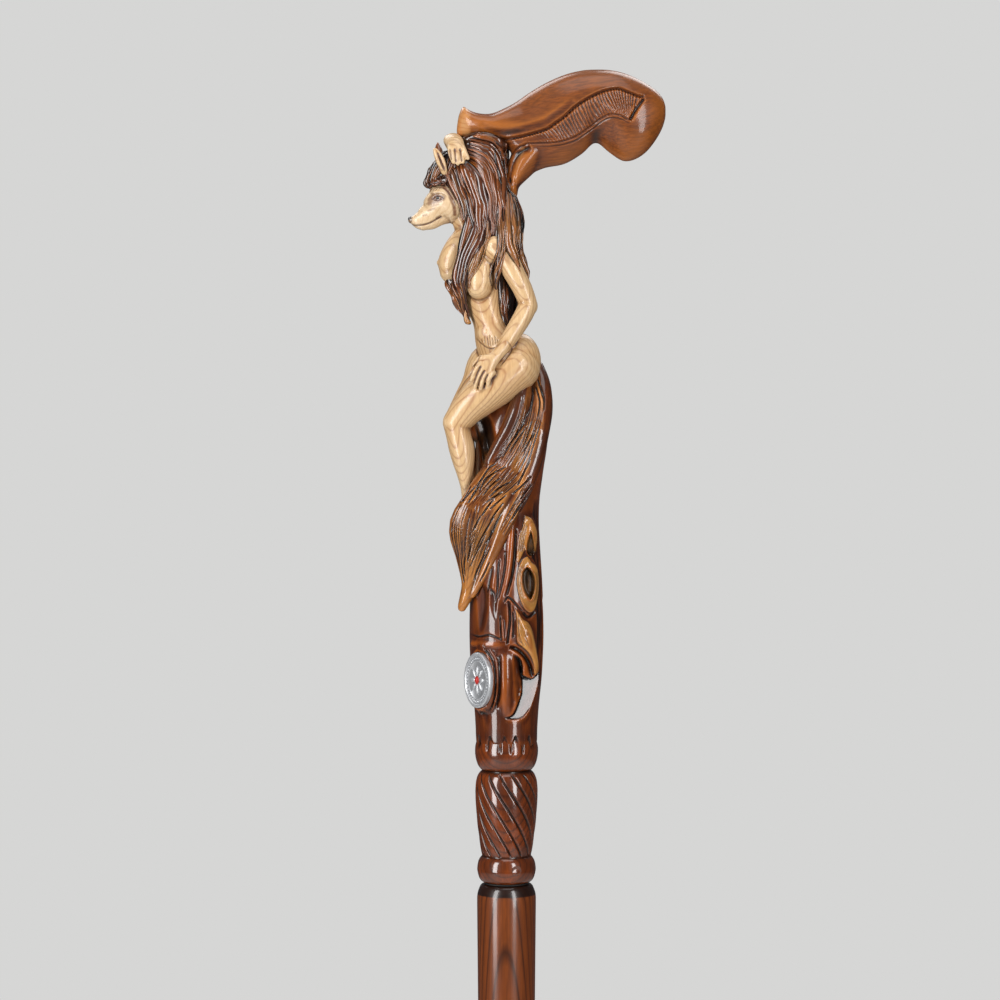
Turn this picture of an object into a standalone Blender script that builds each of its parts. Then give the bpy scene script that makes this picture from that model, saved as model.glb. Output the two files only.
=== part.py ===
# Carved walking cane that screws apart in the middle: a head with a wolf-headed
# figure seated above a hollow stump, and a tapered shaft on a rubber ferrule.
# Metres, +Z up along the shaft. The origin is the centre of the ferrule's foot,
# and the grip runs along X, its palm end at +X.
# The carving is drawn as seen from a little forward of the cane's side: a point
# is "across" to the right, "deep" away from the eye, and "up" from the foot.

import bmesh
import bpy
import math
from mathutils import Matrix, Vector

MM = 0.001
GAP = 0.3 * MM                       # clearance between pieces that touch
OVERCUT = 12 * MM                    # how far a cutter reaches beyond what it cuts
CARVING_TURN = math.radians(20)      # how far forward of the side the carving is drawn

# Heights above the foot
FERRULE_HEIGHT = 48 * MM
FERRULE_FLOOR = 10 * MM              # rubber under the steel disc
DISC_THICKNESS = 1.5 * MM
JOINT_HEIGHT = 500 * MM              # where the head screws off the shaft

# Radii
SHAFT_TIP_RADIUS = 11.0 * MM
SHAFT_TOP_RADIUS = 15.2 * MM
SHAFT_TIP_BEVEL = 1.0 * MM
STUD_RADIUS = 5.0 * MM
BUSH_RADIUS = 7.0 * MM
WASHER_RADIUS = 11.6 * MM
DOWEL_RADIUS = 3.0 * MM
CROSS_PIN_RADIUS = 1.5 * MM
PLUG_RADIUS = 2.6 * MM

# Rounded top edge of the shaft: how far in and how far down, in millimetres
SHAFT_TOP_EDGE = [(0, 6), (1, 2.4), (2.5, 0)]

# Twisted band below the collar
FLUTES = 14
FLUTE_DEPTH = 0.9 * MM
TWIST_PER_METRE = math.radians(2440)
ROUND_SIDES = 4 * FLUTES

# Oval medallion, which faces forward and to the near side
MEDALLION_HEIGHT = 605.5 * MM
MEDALLION_HALF = (9.8 * MM, 14.2 * MM)
MEDALLION_THICKNESS = 2.6 * MM
MEDALLION_RIM = 1.6 * MM
MEDALLION_BEVEL = 0.6 * MM
MEDALLION_TURN = math.radians(47)
MEDALLION_SEAT = 18.6 * MM           # from the axis to the back of the medallion

# Joint washer, stud, threaded bush and cross pin
WASHER_HALF = 0.4 * MM               # half its thickness
STUD_UP = 40 * MM
STUD_DOWN = 17 * MM
BUSH_LENGTH = 20 * MM
BUSH_CHAMFER = 0.8 * MM
CHIP_ROOM = 2 * MM                   # left below the bush
CROSS_PIN_HEIGHT = 508 * MM
PIN_START = -8 * MM
PIN_END = 8.6 * MM
PLUG_FACE = -15 * MM

# Dowels between the grip and the figure block
DOWEL_BOTTOM = 866 * MM
DOWEL_TOP = 891 * MM
DOWEL_PLACES = {"front": -14 * MM, "rear": -3 * MM}

# Grain of the voxel skin, and the share of its faces that is kept
CARVING_VOXEL = 1.25 * MM
CARVING_KEEP = 0.063
GRIP_KEEP = 0.078


def clear_scene():
    for old in list(bpy.data.objects):
        bpy.data.objects.remove(old, do_unlink=True)


def material(name, colour, roughness, metallic=0.0):
    made = bpy.data.materials.new(name)
    made.use_nodes = True
    shader = made.node_tree.nodes["Principled BSDF"]
    shader.inputs["Base Color"].default_value = (*colour, 1.0)
    shader.inputs["Roughness"].default_value = roughness
    shader.inputs["Metallic"].default_value = metallic
    made.diffuse_color = (*colour, 1.0)
    return made


def new_object(name, form, finish, is_helper=False):
    """Turns a bmesh into an object. A helper is cut or joined into a piece and isn't one itself."""
    bmesh.ops.recalc_face_normals(form, faces=form.faces)
    mesh = bpy.data.meshes.new(name)
    form.to_mesh(mesh)
    form.free()
    made = bpy.data.objects.new(name, mesh)
    bpy.context.scene.collection.objects.link(made)
    if is_helper:
        made.hide_render = True
        made.display_type = "WIRE"
        return made
    mesh.materials.append(finish)
    mesh.shade_smooth()
    mesh.set_sharp_from_angle(angle=math.radians(35))
    return made


def helper(name, form):
    return new_object(name, form, None, is_helper=True)


def combine(target, other, operation):
    step = target.modifiers.new(f"{operation.lower()} {other.name}", "BOOLEAN")
    step.object = other
    step.operation = operation
    step.solver = "EXACT"
    return step


# Forms

def spot(across, deep, up):
    """A point of the carving, given in millimetres as drawn, in the cane's own frame."""
    turn = CARVING_TURN
    x = across * math.cos(turn) + deep * math.sin(turn)
    y = -across * math.sin(turn) + deep * math.cos(turn)
    return Vector((x, y, up)) * MM


def direction(across, deep, up):
    return spot(across, deep, up).normalized()


def catmull(before, start, end, after, t):
    """Smooth value between start and end."""
    return 0.5 * (
        2 * start
        + (end - before) * t
        + (2 * before - 5 * start + 4 * end - after) * t ** 2
        + (3 * start - before - 3 * end + after) * t ** 3
    )


def smooth_stations(stations, steps):
    """Stations (centre, half width, half depth) read from a smooth curve through the given ones."""
    padded = [stations[0], *stations, stations[-1]]
    found = []
    for i in range(1, len(padded) - 2):
        for k in range(steps):
            group = padded[i - 1:i + 3]
            found.append(tuple(catmull(*[s[part] for s in group], k / steps) for part in range(3)))
    found.append(stations[-1])
    return found


def rounded_ends(stations):
    """Adds the half-round end caps as extra stations beyond the first and the last."""
    cap_angles = [math.radians(a) for a in (78, 50, 25)]

    def cap(station, outward):
        centre, wide, deep = station
        reach = min(wide, deep)
        return [
            (centre + outward * reach * math.sin(a), wide * math.cos(a), deep * math.cos(a))
            for a in cap_angles
        ]

    start = (stations[0][0] - stations[1][0]).normalized()
    end = (stations[-1][0] - stations[-2][0]).normalized()
    return cap(stations[0], start) + stations + cap(stations[-1], end)[::-1]


def add_limb(form, points, side=(0, 1, 0), sides=14, steps=3):
    """Adds a tapered, round-ended limb. Each point is (across, deep, up, half width[, half depth]) in
    millimetres, and side is the drawn direction in which the half width is measured."""
    stations = [(spot(*p[:3]), p[3] * MM, p[-1] * MM) for p in points]
    stations = rounded_ends(smooth_stations(stations, steps))
    wanted = direction(*side)
    rings = []
    for i, (centre, wide, deep) in enumerate(stations):
        before, after = stations[max(i - 1, 0)][0], stations[min(i + 1, len(stations) - 1)][0]
        tangent = (after - before).normalized()
        across = (wanted - tangent * wanted.dot(tangent)).normalized()
        through = tangent.cross(across)
        rings.append([
            form.verts.new(
                centre
                + across * wide * math.cos(2 * math.pi * k / sides)
                + through * deep * math.sin(2 * math.pi * k / sides)
            )
            for k in range(sides)
        ])
    for low, high in zip(rings, rings[1:]):
        for k in range(sides):
            form.faces.new((low[k], low[(k + 1) % sides], high[(k + 1) % sides], high[k]))
    form.faces.new(rings[0][::-1])
    form.faces.new(rings[-1])


def add_lump(form, place, size, facing=0.0):
    """Adds an ellipsoid of the given half sizes, in millimetres, turned about Z by facing degrees."""
    turn = Matrix.Rotation(math.radians(facing) - CARVING_TURN, 4, "Z")
    scale = Matrix.Diagonal((*[s * MM for s in size], 1))
    bmesh.ops.create_uvsphere(
        form, u_segments=20, v_segments=12, radius=1,
        matrix=Matrix.Translation(spot(*place)) @ turn @ scale,
    )


def lathe(profile, sides=40, flute_at=None):
    """Turns a closed (radius, height) profile about Z. Points on the axis become poles. flute_at gives,
    for a point of the profile, its twist angle and the depth of the flutes there."""
    form = bmesh.new()
    rings = []
    for index, (radius, height) in enumerate(profile):
        if radius == 0:
            rings.append([form.verts.new((0, 0, height))])
            continue
        twist, depth = flute_at(index) if flute_at else (0.0, 0.0)
        ring = []
        for k in range(sides):
            angle = 2 * math.pi * k / sides + twist
            r = radius - (depth if k % 4 == 0 else 0)
            ring.append(form.verts.new((r * math.cos(angle), r * math.sin(angle), height)))
        rings.append(ring)
    open_ended = profile[0][0] != 0
    pairs = list(zip(rings, rings[1:]))
    if open_ended:
        pairs.append((rings[-1], rings[0]))
    for low, high in pairs:
        for k in range(sides):
            nxt = (k + 1) % sides
            corners = [low[k % len(low)], low[nxt % len(low)], high[nxt % len(high)], high[k % len(high)]]
            kept = [c for i, c in enumerate(corners) if c not in corners[:i]]
            form.faces.new(kept)
    return form


def rod(radius, low, high, sides=32):
    return lathe([(0, low), (radius, low), (radius, high), (0, high)], sides)


def crosswise(form):
    """Lays a form that was turned about Z along Y, at the height of the cross pin."""
    laid = Matrix.Translation((0, 0, CROSS_PIN_HEIGHT)) @ Matrix.Rotation(math.radians(-90), 4, "X")
    bmesh.ops.transform(form, verts=form.verts, matrix=laid)
    return form


def oval_disc(half, back, front, rim=0.0):
    """The medallion's oval, as a body between two distances from the cane's axis, with a bevelled rim."""
    sides = 36
    form = bmesh.new()
    levels = [(back, 0.0), (front - rim, 0.0), (front, rim)]
    rings = []
    for distance, inset in levels:
        rings.append([
            form.verts.new((
                (half[0] - inset) * math.cos(2 * math.pi * k / sides),
                -distance,
                (half[1] - inset) * math.sin(2 * math.pi * k / sides),
            ))
            for k in range(sides)
        ])
    for low, high in zip(rings, rings[1:]):
        for k in range(sides):
            form.faces.new((low[k], low[(k + 1) % sides], high[(k + 1) % sides], high[k]))
    form.faces.new(rings[0])
    form.faces.new(rings[-1])
    bmesh.ops.transform(
        form, verts=form.verts,
        matrix=Matrix.Translation((0, 0, MEDALLION_HEIGHT))
        @ Matrix.Rotation(-MEDALLION_TURN - CARVING_TURN, 4, "Z"),
    )
    return form


def voxel_skin(target, keep, voxel=CARVING_VOXEL, rounds=4):
    """Fuses the overlapping bodies of a mesh into one smooth skin."""
    skin = target.modifiers.new("one skin", "REMESH")
    skin.mode = "VOXEL"
    skin.voxel_size = voxel
    soften = target.modifiers.new("soften", "SMOOTH")
    soften.factor = 0.5
    soften.iterations = rounds
    thin = target.modifiers.new("fewer faces", "DECIMATE")
    thin.ratio = keep


# The seated figure, drawn in millimetres

def add_torso(form):
    shoulders = (0.68, -0.74, 0.12)
    add_limb(form, [
        (-18, 2, 834, 9, 8), (-16, 1.5, 827, 14.5, 9), (-15, 1, 816, 15, 10), (-13, 0, 803, 12, 9.4),
        (-9.2, 0, 791, 8.8, 8), (-5.5, 0, 780, 12, 9.5), (0, 0, 768, 14, 12),
    ], side=shoulders, sides=20)
    add_limb(form, [(-19, 2, 832, 8), (-20.5, 1, 839, 6.6), (-24, 0, 848, 6.6)])
    add_limb(form, [
        (-10, -6.5, 828, 5.5), (-12, -8.4, 819, 6), (-13.6, -9.4, 810.6, 7), (-14, -9.6, 807, 6.4),
    ])
    add_lump(form, (-6, -9.5, 824), (7.5, 6.5, 8.5))
    add_limb(form, [
        (-20.4, 0, 842, 5), (-22.6, 0, 835, 6.4), (-26, 0, 827, 7.9), (-28.3, 0, 819, 7.7),
        (-28.4, 0, 816.4, 6.6),
    ])
    add_lump(form, (6, -6, 769), (11.8, 10.5, 14.8))
    add_lump(form, (0, 8, 770), (12.5, 10, 14))


def add_legs(form):
    add_limb(form, [
        (4, -7, 765, 12.5), (-7, -9, 756.5, 11.2), (-17, -9.5, 747.5, 9.6), (-25.4, -9, 738, 7.4),
    ])
    add_limb(form, [
        (-25.4, -9, 737, 7.2), (-23.8, -9, 726, 6.5), (-22, -9, 715, 6), (-21, -8, 706, 4),
        (-20, -7, 698, 3.6),
    ])
    add_limb(form, [
        (-3, 7, 772, 11), (-10, 9, 768, 10.3), (-14, 9, 758, 9.4), (-19.5, 8, 749, 8.2), (-24.5, 6, 741, 7),
    ])
    add_limb(form, [(-24.5, 6, 740, 7), (-22, 7, 724, 6), (-19, 7, 704, 4.5)])


def add_arms(form):
    add_limb(form, [(-5.5, -11, 827, 7), (3, -13.5, 817, 5.4), (8.4, -14, 806, 5), (11, -13, 797.5, 5)])
    add_limb(form, [(11, -13, 797.5, 5), (7, -15, 789, 4.5), (0.8, -17.5, 779, 4.1), (-5.5, -19, 771, 3.3)])
    add_limb(form, [(-5.5, -19, 771, 3.6, 2.8), (-10.5, -19.5, 764, 4.8, 2.4), (-13.5, -18.8, 757, 4, 1.8)],
             side=(0.7, 0, -0.7))
    add_limb(form, [(-24, 13, 828, 6.5), (-25, 18, 842, 5.5), (-22, 20, 858, 5)])
    add_limb(form, [(-22, 20, 858, 5), (-25, 16, 872, 4.4), (-27.5, 7, 882, 4)])
    add_limb(form, [(-27.5, 7, 882, 4.2), (-27.5, -2, 883, 4.8), (-26, -8, 879, 4.9), (-23.5, -10, 873, 4)],
             side=(1, 0, 0))


def add_wolf_head(form):
    add_lump(form, (-30, -1, 852.5), (9.8, 8.8, 9.6))
    add_limb(form, [
        (-32, -1.5, 850.5, 7), (-38.5, -2, 847.5, 5.2), (-44.5, -2.3, 844, 3.4), (-48, -2.4, 842.6, 2.3),
    ])
    add_limb(form, [(-25, -1, 846, 5.2), (-34, -1.8, 843, 3.8), (-41.5, -2.2, 840, 2.5)])
    add_limb(form, [(-32, -6.5, 865, 4, 2.6), (-34.5, -7.5, 872.5, 3, 2), (-36.2, -7.5, 877, 1.4, 1.2)],
             side=(1, 0, 0))
    add_limb(form, [(-32.5, 5, 868, 3.8, 2.6), (-35, 5.5, 877, 2.7, 1.9), (-36, 5.5, 882.5, 1.4, 1.2)],
             side=(1, 0, 0))


def add_hair(form):
    # crown and the long fall down the back
    add_limb(form, [
        (-7.5, 0, 884.5, 12.5, 10.2), (-7.5, 0, 880, 12.5, 11.2), (-9, 0, 872, 12.5, 13),
        (-10.8, 0, 861, 13.5, 15), (-7.4, 0, 850, 15.2, 16.2), (-6.5, -0.5, 840, 15.2, 16.8),
        (-6, 0, 830, 14, 16), (-3.5, 3, 820, 12, 13),
        (0, 5, 810, 8.5, 9), (0.5, 6, 798, 6.5, 7), (1, 6, 785, 6, 6),
    ], side=(1, 0, 0), sides=22)
    add_limb(form, [(3, 0, 828, 6, 8), (7.5, -4, 817, 4.5, 6), (11.5, -7, 809, 1.8, 2.4)], side=(1, 0, 0))
    add_lump(form, (-22.5, 0, 864), (12.5, 12, 13.5))
    add_lump(form, (-27.5, 0, 872), (8.5, 9, 9))
    add_lump(form, (-17, 0, 877), (10, 11, 11))
    add_lump(form, (0, 0, 868), (6, 9.5, 14))
    add_limb(form, [(-30, -2, 871, 6), (-36, -3, 868.5, 5.4), (-39, -3, 862.5, 3.8)])
    # the lock over the chest, with a curl at its end, and the one over the near shoulder
    add_limb(form, [
        (-17.5, -9, 842, 6.5, 5), (-18, -13, 830, 8, 4.6), (-21.5, -11.5, 817, 8, 4.4),
        (-24, -8, 806, 5.6, 4), (-22.5, -5.5, 797, 3.2, 3), (-19.8, -4.5, 790, 1.9, 1.9),
    ], side=(1, -0.6, 0))
    add_limb(form, [(-29, -2, 811.5, 3.2), (-27, -2.5, 804, 2.8), (-23.5, -3.5, 797, 2.2)])
    add_limb(form, [(-6, -13, 838, 6), (-3.5, -15, 825, 5.6, 4.5), (-5, -13, 812, 3.6, 3)], side=(1, 0, 0))


def add_tail(form):
    add_limb(form, [
        (15.5, 5, 766, 4.5), (17.5, -1, 756, 6.4, 5), (16, -6.5, 743, 9, 7), (11, -12, 729, 12, 7),
        (2, -14.5, 712, 14.5, 7), (-9, -14.5, 697, 16, 8), (-17, -12.5, 683, 13.6, 7.5),
        (-18.5, -9.8, 668, 9, 6), (-19.3, -8.6, 655, 5.2, 4.6), (-21.6, -8, 646.5, 3.6, 3.4),
    ], side=(0.7, 0, 0.7), sides=22)


def add_stump(form):
    add_limb(form, [
        (8, 4, 758, 9, 10), (5, 5, 747, 15, 13), (3, 5, 732, 18.6, 14), (1.4, 2, 713, 17.6, 15.4),
        (0.5, 0, 695, 16.4, 16.5), (0, 0, 675, 17.6, 17.6), (0, 0, 650, 19.2, 19.2),
        (0, 0, 628, 19.5, 19.5), (0, 0, 608, 18.8, 18.8), (0, 0, 592, 17, 17), (0, 0, 580, 15.8, 15.8),
        (0, 0, 572, 14, 14),
    ], side=(1, 0, 0), sides=32)
    add_lump(form, (-9, 4, 740), (12, 9, 15))
    # boss under the medallion, broken branch, splinter above it and the rim of the knot hole
    add_lump(form, (-10.8, -10, 605.5), (9, 9.5, 18), facing=-47)
    add_limb(form, [(2.5, -16.5, 618, 5.4), (3.4, -16.5, 604, 5), (3, -14, 590, 4)])
    add_limb(form, [(2, -17.5, 643, 2.4), (7, -16.5, 634, 4), (10, -15.5, 625, 4.4), (12.6, -14, 614, 3.6),
                    (13, -12.8, 607, 2.4)])
    add_limb(form, [(10, -12.6, 667, 4.5), (10.8, -13.4, 655, 6.6), (11.2, -12.6, 644, 4.4)])


def knot_hollow():
    form = bmesh.new()
    add_lump(form, (12, -18.6, 655), (4.2, 7, 8.3), facing=34)
    return form


# The grip: a nose at its front, a hooked palm end and a stem down behind the hair

def add_slices(form, slices, sides=26, steps=2):
    """Lofts upright slices along the grip. Each is (across, underside, top, half depth, pinch) in
    millimetres, and pinch draws in the lower half, where the fingers lie."""
    padded = [slices[0], *slices, slices[-1]]
    smooth = []
    for i in range(1, len(padded) - 2):
        for k in range(steps):
            columns = zip(*padded[i - 1:i + 3])
            smooth.append([catmull(*column, k / steps) for column in columns])
    smooth.append(slices[-1])
    rings = []
    for across, low, high, deep, pinch in smooth:
        ring = []
        for k in range(sides):
            angle = 2 * math.pi * k / sides
            narrowing = 1 - pinch * max(0.0, -math.sin(angle))
            up = (low + high) / 2 + (high - low) / 2 * math.sin(angle)
            ring.append(form.verts.new(spot(across, deep * narrowing * math.cos(angle), up)))
        rings.append(ring)
    for left, right in zip(rings, rings[1:]):
        for k in range(sides):
            form.faces.new((left[k], left[(k + 1) % sides], right[(k + 1) % sides], right[k]))
    form.faces.new(rings[0])
    form.faces.new(rings[-1])


def grip_form():
    form = bmesh.new()
    add_slices(form, [
        (-25.7, 886.6, 890, 3, 0), (-24.6, 885.4, 896.6, 5.5, 0), (-22.3, 885, 901, 7.5, 0),
        (-19.8, 885, 899.4, 9, 0), (-15, 884.6, 897.5, 10.6, 0), (-8, 883.2, 897.2, 11.8, 0),
        (0, 880, 900.5, 12.3, 0), (6, 872, 904, 12.6, 0.1), (11, 866.5, 907.6, 13, 0.2),
        (20, 869.4, 913, 13.8, 0.2), (30, 871.4, 917.4, 14.6, 0.2), (39, 876.6, 919.6, 15, 0.25),
        (46, 882.4, 920, 15.3, 0.4), (53, 877.4, 919.8, 15.4, 0.5), (60, 873, 918.4, 15, 0.3),
        (66, 873.6, 916.1, 14.2, 0.1), (72, 877.4, 912.9, 12.8, 0), (77, 883.5, 909.4, 10.6, 0),
        (80.5, 889.8, 905.5, 7.6, 0), (82.1, 895, 901.5, 3.5, 0),
    ])
    add_limb(form, [
        (13, 0, 878, 8.5, 11), (7.4, 0, 870, 7.2, 10.4), (3.2, 0, 861.5, 4.2, 9), (3.4, 0, 856, 2.4, 7),
    ], side=(1, 0, 0), sides=18)
    return form


# Pieces

def build_carved_block(ash):
    """Figure, hair, tail, stump, turned collar and twisted band, all cut from one blank."""
    form = bmesh.new()
    for add in (add_torso, add_legs, add_arms, add_wolf_head, add_hair, add_tail, add_stump):
        add(form)
    block = new_object("carved_block", form, ash)
    voxel_skin(block, CARVING_KEEP)
    combine(block, helper("turned neck", turned_neck()), "UNION")
    seat_half = [half + GAP for half in MEDALLION_HALF]
    cutters = {
        "knot hollow": knot_hollow(),
        "stud bore": rod(STUD_RADIUS + GAP, JOINT_HEIGHT - OVERCUT, JOINT_HEIGHT + STUD_UP + 2 * GAP),
        "cross bore": cross_bore(),
        "medallion seat": oval_disc(seat_half, MEDALLION_SEAT - GAP, MEDALLION_SEAT + OVERCUT),
    }
    cutters.update({f"{name} dowel bore low": dowel(x, GAP) for name, x in DOWEL_PLACES.items()})
    combine(block, grip_seat_cutter(), "DIFFERENCE")
    for name, cutter in cutters.items():
        combine(block, helper(name, cutter), "DIFFERENCE")
    return block


def turned_neck():
    """Lower bead, twisted band and collar, turned about the cane's axis."""
    foot = (WASHER_HALF + GAP) / MM
    bead = [(12.4, foot), (14.1, 3), (15.1, 7), (14.3, 11), (12.7, 13)]
    band = [
        (12.9, 14.5), (13.6, 20), (14.6, 27), (15.5, 35), (16.1, 44), (16, 50), (15.2, 54.5), (13.6, 57),
    ]
    collar = [(12.6, 58.2), (14.7, 61), (16.1, 65.5), (16.3, 69.5), (15.6, 73.5), (14.2, 75.4)]
    outline = [(r * MM, JOINT_HEIGHT + h * MM) for r, h in bead + band + collar]
    profile = [(0, outline[0][1]), *outline, (0, outline[-1][1])]
    first, last = 1 + len(bead), len(bead) + len(band)

    def flute_at(index):
        held = min(max(index, first), last)
        twist = (profile[held][1] - JOINT_HEIGHT) * -TWIST_PER_METRE
        return twist, FLUTE_DEPTH if first < index < last else 0.0

    return lathe(profile, ROUND_SIDES, flute_at)


def grip_seat_cutter():
    """The grip's own shape, a little grown, which cuts the seat for it in the block below."""
    cutter = helper("grip seat", grip_form())
    voxel_skin(cutter, GRIP_KEEP)
    grow = cutter.modifiers.new("clearance", "DISPLACE")
    grow.strength = 1.6 * GAP
    grow.mid_level = 0.0
    return cutter


def dowel(x, extra=0.0):
    form = rod(DOWEL_RADIUS + extra, DOWEL_BOTTOM - 2 * extra, DOWEL_TOP + 2 * extra, 20)
    bmesh.ops.translate(form, verts=form.verts, vec=(x, 0, 0))
    return form


def build_grip(ash):
    grip = new_object("grip", grip_form(), ash)
    voxel_skin(grip, GRIP_KEEP)
    for name, x in DOWEL_PLACES.items():
        combine(grip, helper(f"{name} dowel bore high", dowel(x, GAP)), "DIFFERENCE")
    return grip


def build_dowels(beech):
    for name, x in DOWEL_PLACES.items():
        new_object(f"grip_dowel_{name}", dowel(x), beech)


def build_medallion(pewter):
    """Oval disc with a raised rim, let into its seat on the stump."""
    front = MEDALLION_SEAT + MEDALLION_THICKNESS
    body = oval_disc(MEDALLION_HALF, MEDALLION_SEAT, front, MEDALLION_BEVEL)
    disc = new_object("medallion", body, pewter)
    field_half = [half - MEDALLION_RIM for half in MEDALLION_HALF]
    field = oval_disc(field_half, front - MEDALLION_BEVEL, front + OVERCUT)
    combine(disc, helper("medallion field", field), "DIFFERENCE")


def cross_bore():
    """The stepped hole for the cross pin and for the wooden plug that hides it."""
    plug, pin = PLUG_RADIUS + GAP, CROSS_PIN_RADIUS + GAP
    outside, step, end = PLUG_FACE - OVERCUT, PIN_START - GAP, PIN_END + GAP
    profile = [(0, outside), (plug, outside), (plug, step), (pin, step), (pin, end), (0, end)]
    return crosswise(lathe(profile, 20))


def build_stud(steel):
    body = rod(STUD_RADIUS, JOINT_HEIGHT - STUD_DOWN, JOINT_HEIGHT + STUD_UP)
    stud = new_object("joint_stud", body, steel)
    hole = crosswise(rod(CROSS_PIN_RADIUS + GAP, -OVERCUT, OVERCUT, 20))
    combine(stud, helper("stud cross hole", hole), "DIFFERENCE")
    new_object("stud_cross_pin", crosswise(rod(CROSS_PIN_RADIUS, PIN_START, PIN_END, 20)), steel)


def build_pin_plug(ash):
    new_object("cross_pin_plug", crosswise(rod(PLUG_RADIUS, PLUG_FACE, PIN_START - 2 * GAP, 20)), ash)


def build_joint_washer(fibre):
    low, high = JOINT_HEIGHT - WASHER_HALF, JOINT_HEIGHT + WASHER_HALF
    inner, outer = STUD_RADIUS + 2 * GAP, WASHER_RADIUS
    new_object("joint_washer", lathe([(inner, low), (outer, low), (outer, high), (inner, high)], 32), fibre)


def build_bush(brass):
    top = JOINT_HEIGHT - WASHER_HALF - 1.3 * GAP
    low = top - BUSH_LENGTH
    inner, outer = STUD_RADIUS + GAP, BUSH_RADIUS
    mouth = [(inner + BUSH_CHAMFER, top), (inner, top - BUSH_CHAMFER)]
    new_object("threaded_bush", lathe([(inner, low), (outer, low), (outer, top), *mouth], 28), brass)


def build_shaft(ash):
    tip = FERRULE_FLOOR + DISC_THICKNESS + 2 * GAP
    top = JOINT_HEIGHT - WASHER_HALF - GAP
    bore = BUSH_RADIUS + GAP
    bore_bottom = top - BUSH_LENGTH - CHIP_ROOM
    profile = [
        (0, tip), (SHAFT_TIP_RADIUS - SHAFT_TIP_BEVEL, tip), (SHAFT_TIP_RADIUS, tip + SHAFT_TIP_BEVEL),
        (SHAFT_TIP_RADIUS, FERRULE_HEIGHT + SHAFT_TIP_BEVEL),
    ]
    profile += [(SHAFT_TOP_RADIUS - inward * MM, top - down * MM) for inward, down in SHAFT_TOP_EDGE]
    profile += [(bore, top), (bore, bore_bottom), (0, bore_bottom)]
    new_object("shaft", lathe(profile, 48), ash)


def build_ferrule(rubber, steel):
    """Rubber foot with a ringed tread and a stepped sleeve, and the steel disc under the shaft."""
    bore = SHAFT_TIP_RADIUS + GAP
    tread = [
        (0, 0), (4.5, 0), (5.2, 1.4), (7.4, 1.4), (8.1, 0), (11, 0), (11.7, 1.4), (13.9, 1.4), (14.6, 0),
    ]
    wall = [
        (18, 0), (19, 1.4), (19, 4.6), (17, 9), (15.6, 16), (15.2, 21), (16, 22), (16, 25), (15, 26),
        (14.6, 42), (15.5, 43.2), (15.5, 47), (14.4, FERRULE_HEIGHT / MM),
    ]
    profile = [(r * MM, h * MM) for r, h in tread + wall]
    profile += [(bore, FERRULE_HEIGHT), (bore, FERRULE_FLOOR), (0, FERRULE_FLOOR)]
    new_object("ferrule", lathe(profile, 36), rubber)
    low = FERRULE_FLOOR + GAP
    new_object("ferrule_disc", rod(bore - 2 * GAP, low, low + DISC_THICKNESS - GAP, 32), steel)


def main():
    clear_scene()
    carved_ash = material("carved_ash", (0.36, 0.17, 0.07), 0.32)
    grip_ash = material("grip_ash", (0.33, 0.15, 0.06), 0.3)
    shaft_ash = material("shaft_ash", (0.27, 0.11, 0.04), 0.28)
    beech = material("beech_dowel", (0.62, 0.45, 0.27), 0.6)
    pewter = material("pewter", (0.62, 0.62, 0.6), 0.35, 1.0)
    steel = material("zinc_steel", (0.6, 0.6, 0.6), 0.35, 1.0)
    brass = material("brass", (0.72, 0.53, 0.22), 0.3, 1.0)
    fibre = material("black_fibre", (0.02, 0.02, 0.02), 0.7)
    rubber = material("black_rubber", (0.03, 0.03, 0.03), 0.75)
    build_carved_block(carved_ash)
    build_grip(grip_ash)
    build_dowels(beech)
    build_medallion(pewter)
    build_stud(steel)
    build_pin_plug(shaft_ash)
    build_joint_washer(fibre)
    build_bush(brass)
    build_shaft(shaft_ash)
    build_ferrule(rubber, steel)


main()
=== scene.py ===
import bmesh
import bpy
import math
import numpy as np
from mathutils import Euler, Matrix, Vector
from mathutils.bvhtree import BVHTree


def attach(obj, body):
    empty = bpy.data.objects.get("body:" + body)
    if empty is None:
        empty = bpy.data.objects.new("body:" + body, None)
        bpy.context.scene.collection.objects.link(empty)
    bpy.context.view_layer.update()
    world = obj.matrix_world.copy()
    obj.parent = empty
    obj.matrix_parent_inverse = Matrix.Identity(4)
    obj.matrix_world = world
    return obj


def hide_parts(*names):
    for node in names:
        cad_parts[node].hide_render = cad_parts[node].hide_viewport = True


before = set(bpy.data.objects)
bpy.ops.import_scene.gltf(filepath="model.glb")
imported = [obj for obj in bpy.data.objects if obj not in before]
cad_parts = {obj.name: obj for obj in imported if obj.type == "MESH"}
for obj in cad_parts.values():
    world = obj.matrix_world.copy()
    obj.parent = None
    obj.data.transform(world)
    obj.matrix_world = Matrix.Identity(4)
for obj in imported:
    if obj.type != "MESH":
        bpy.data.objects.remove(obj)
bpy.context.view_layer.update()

bpy.ops.object.select_all(action="DESELECT")

mm = 0.001
photoAzimuth = -20      # degrees round from the cane's side, as the photograph sees it
bothSides = ((photoAzimuth, 1), (photoAzimuth + 180, -1))       # the photograph's side, and the far side mirrored
rng = np.random.default_rng(7)


# Places on the carving are drawn as (across, deep, up) in mm, seen from photoAzimuth

def sightAxes(azimuth):
    a = math.radians(azimuth)
    right = Vector((math.cos(a), math.sin(a), 0))
    towardsEye = Vector((math.sin(a), -math.cos(a), 0))
    return right, towardsEye


def drawn(across, deep, up, azimuth=photoAzimuth):
    right, towardsEye = sightAxes(azimuth)
    return (right * across - towardsEye * deep + Vector((0, 0, up))) * mm


def atDepth(spot, deep):
    return spot[0], deep, spot[1]


def mirrored(lines, side):
    return [[(side * p[0], *p[1:]) for p in line] for line in lines]


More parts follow.
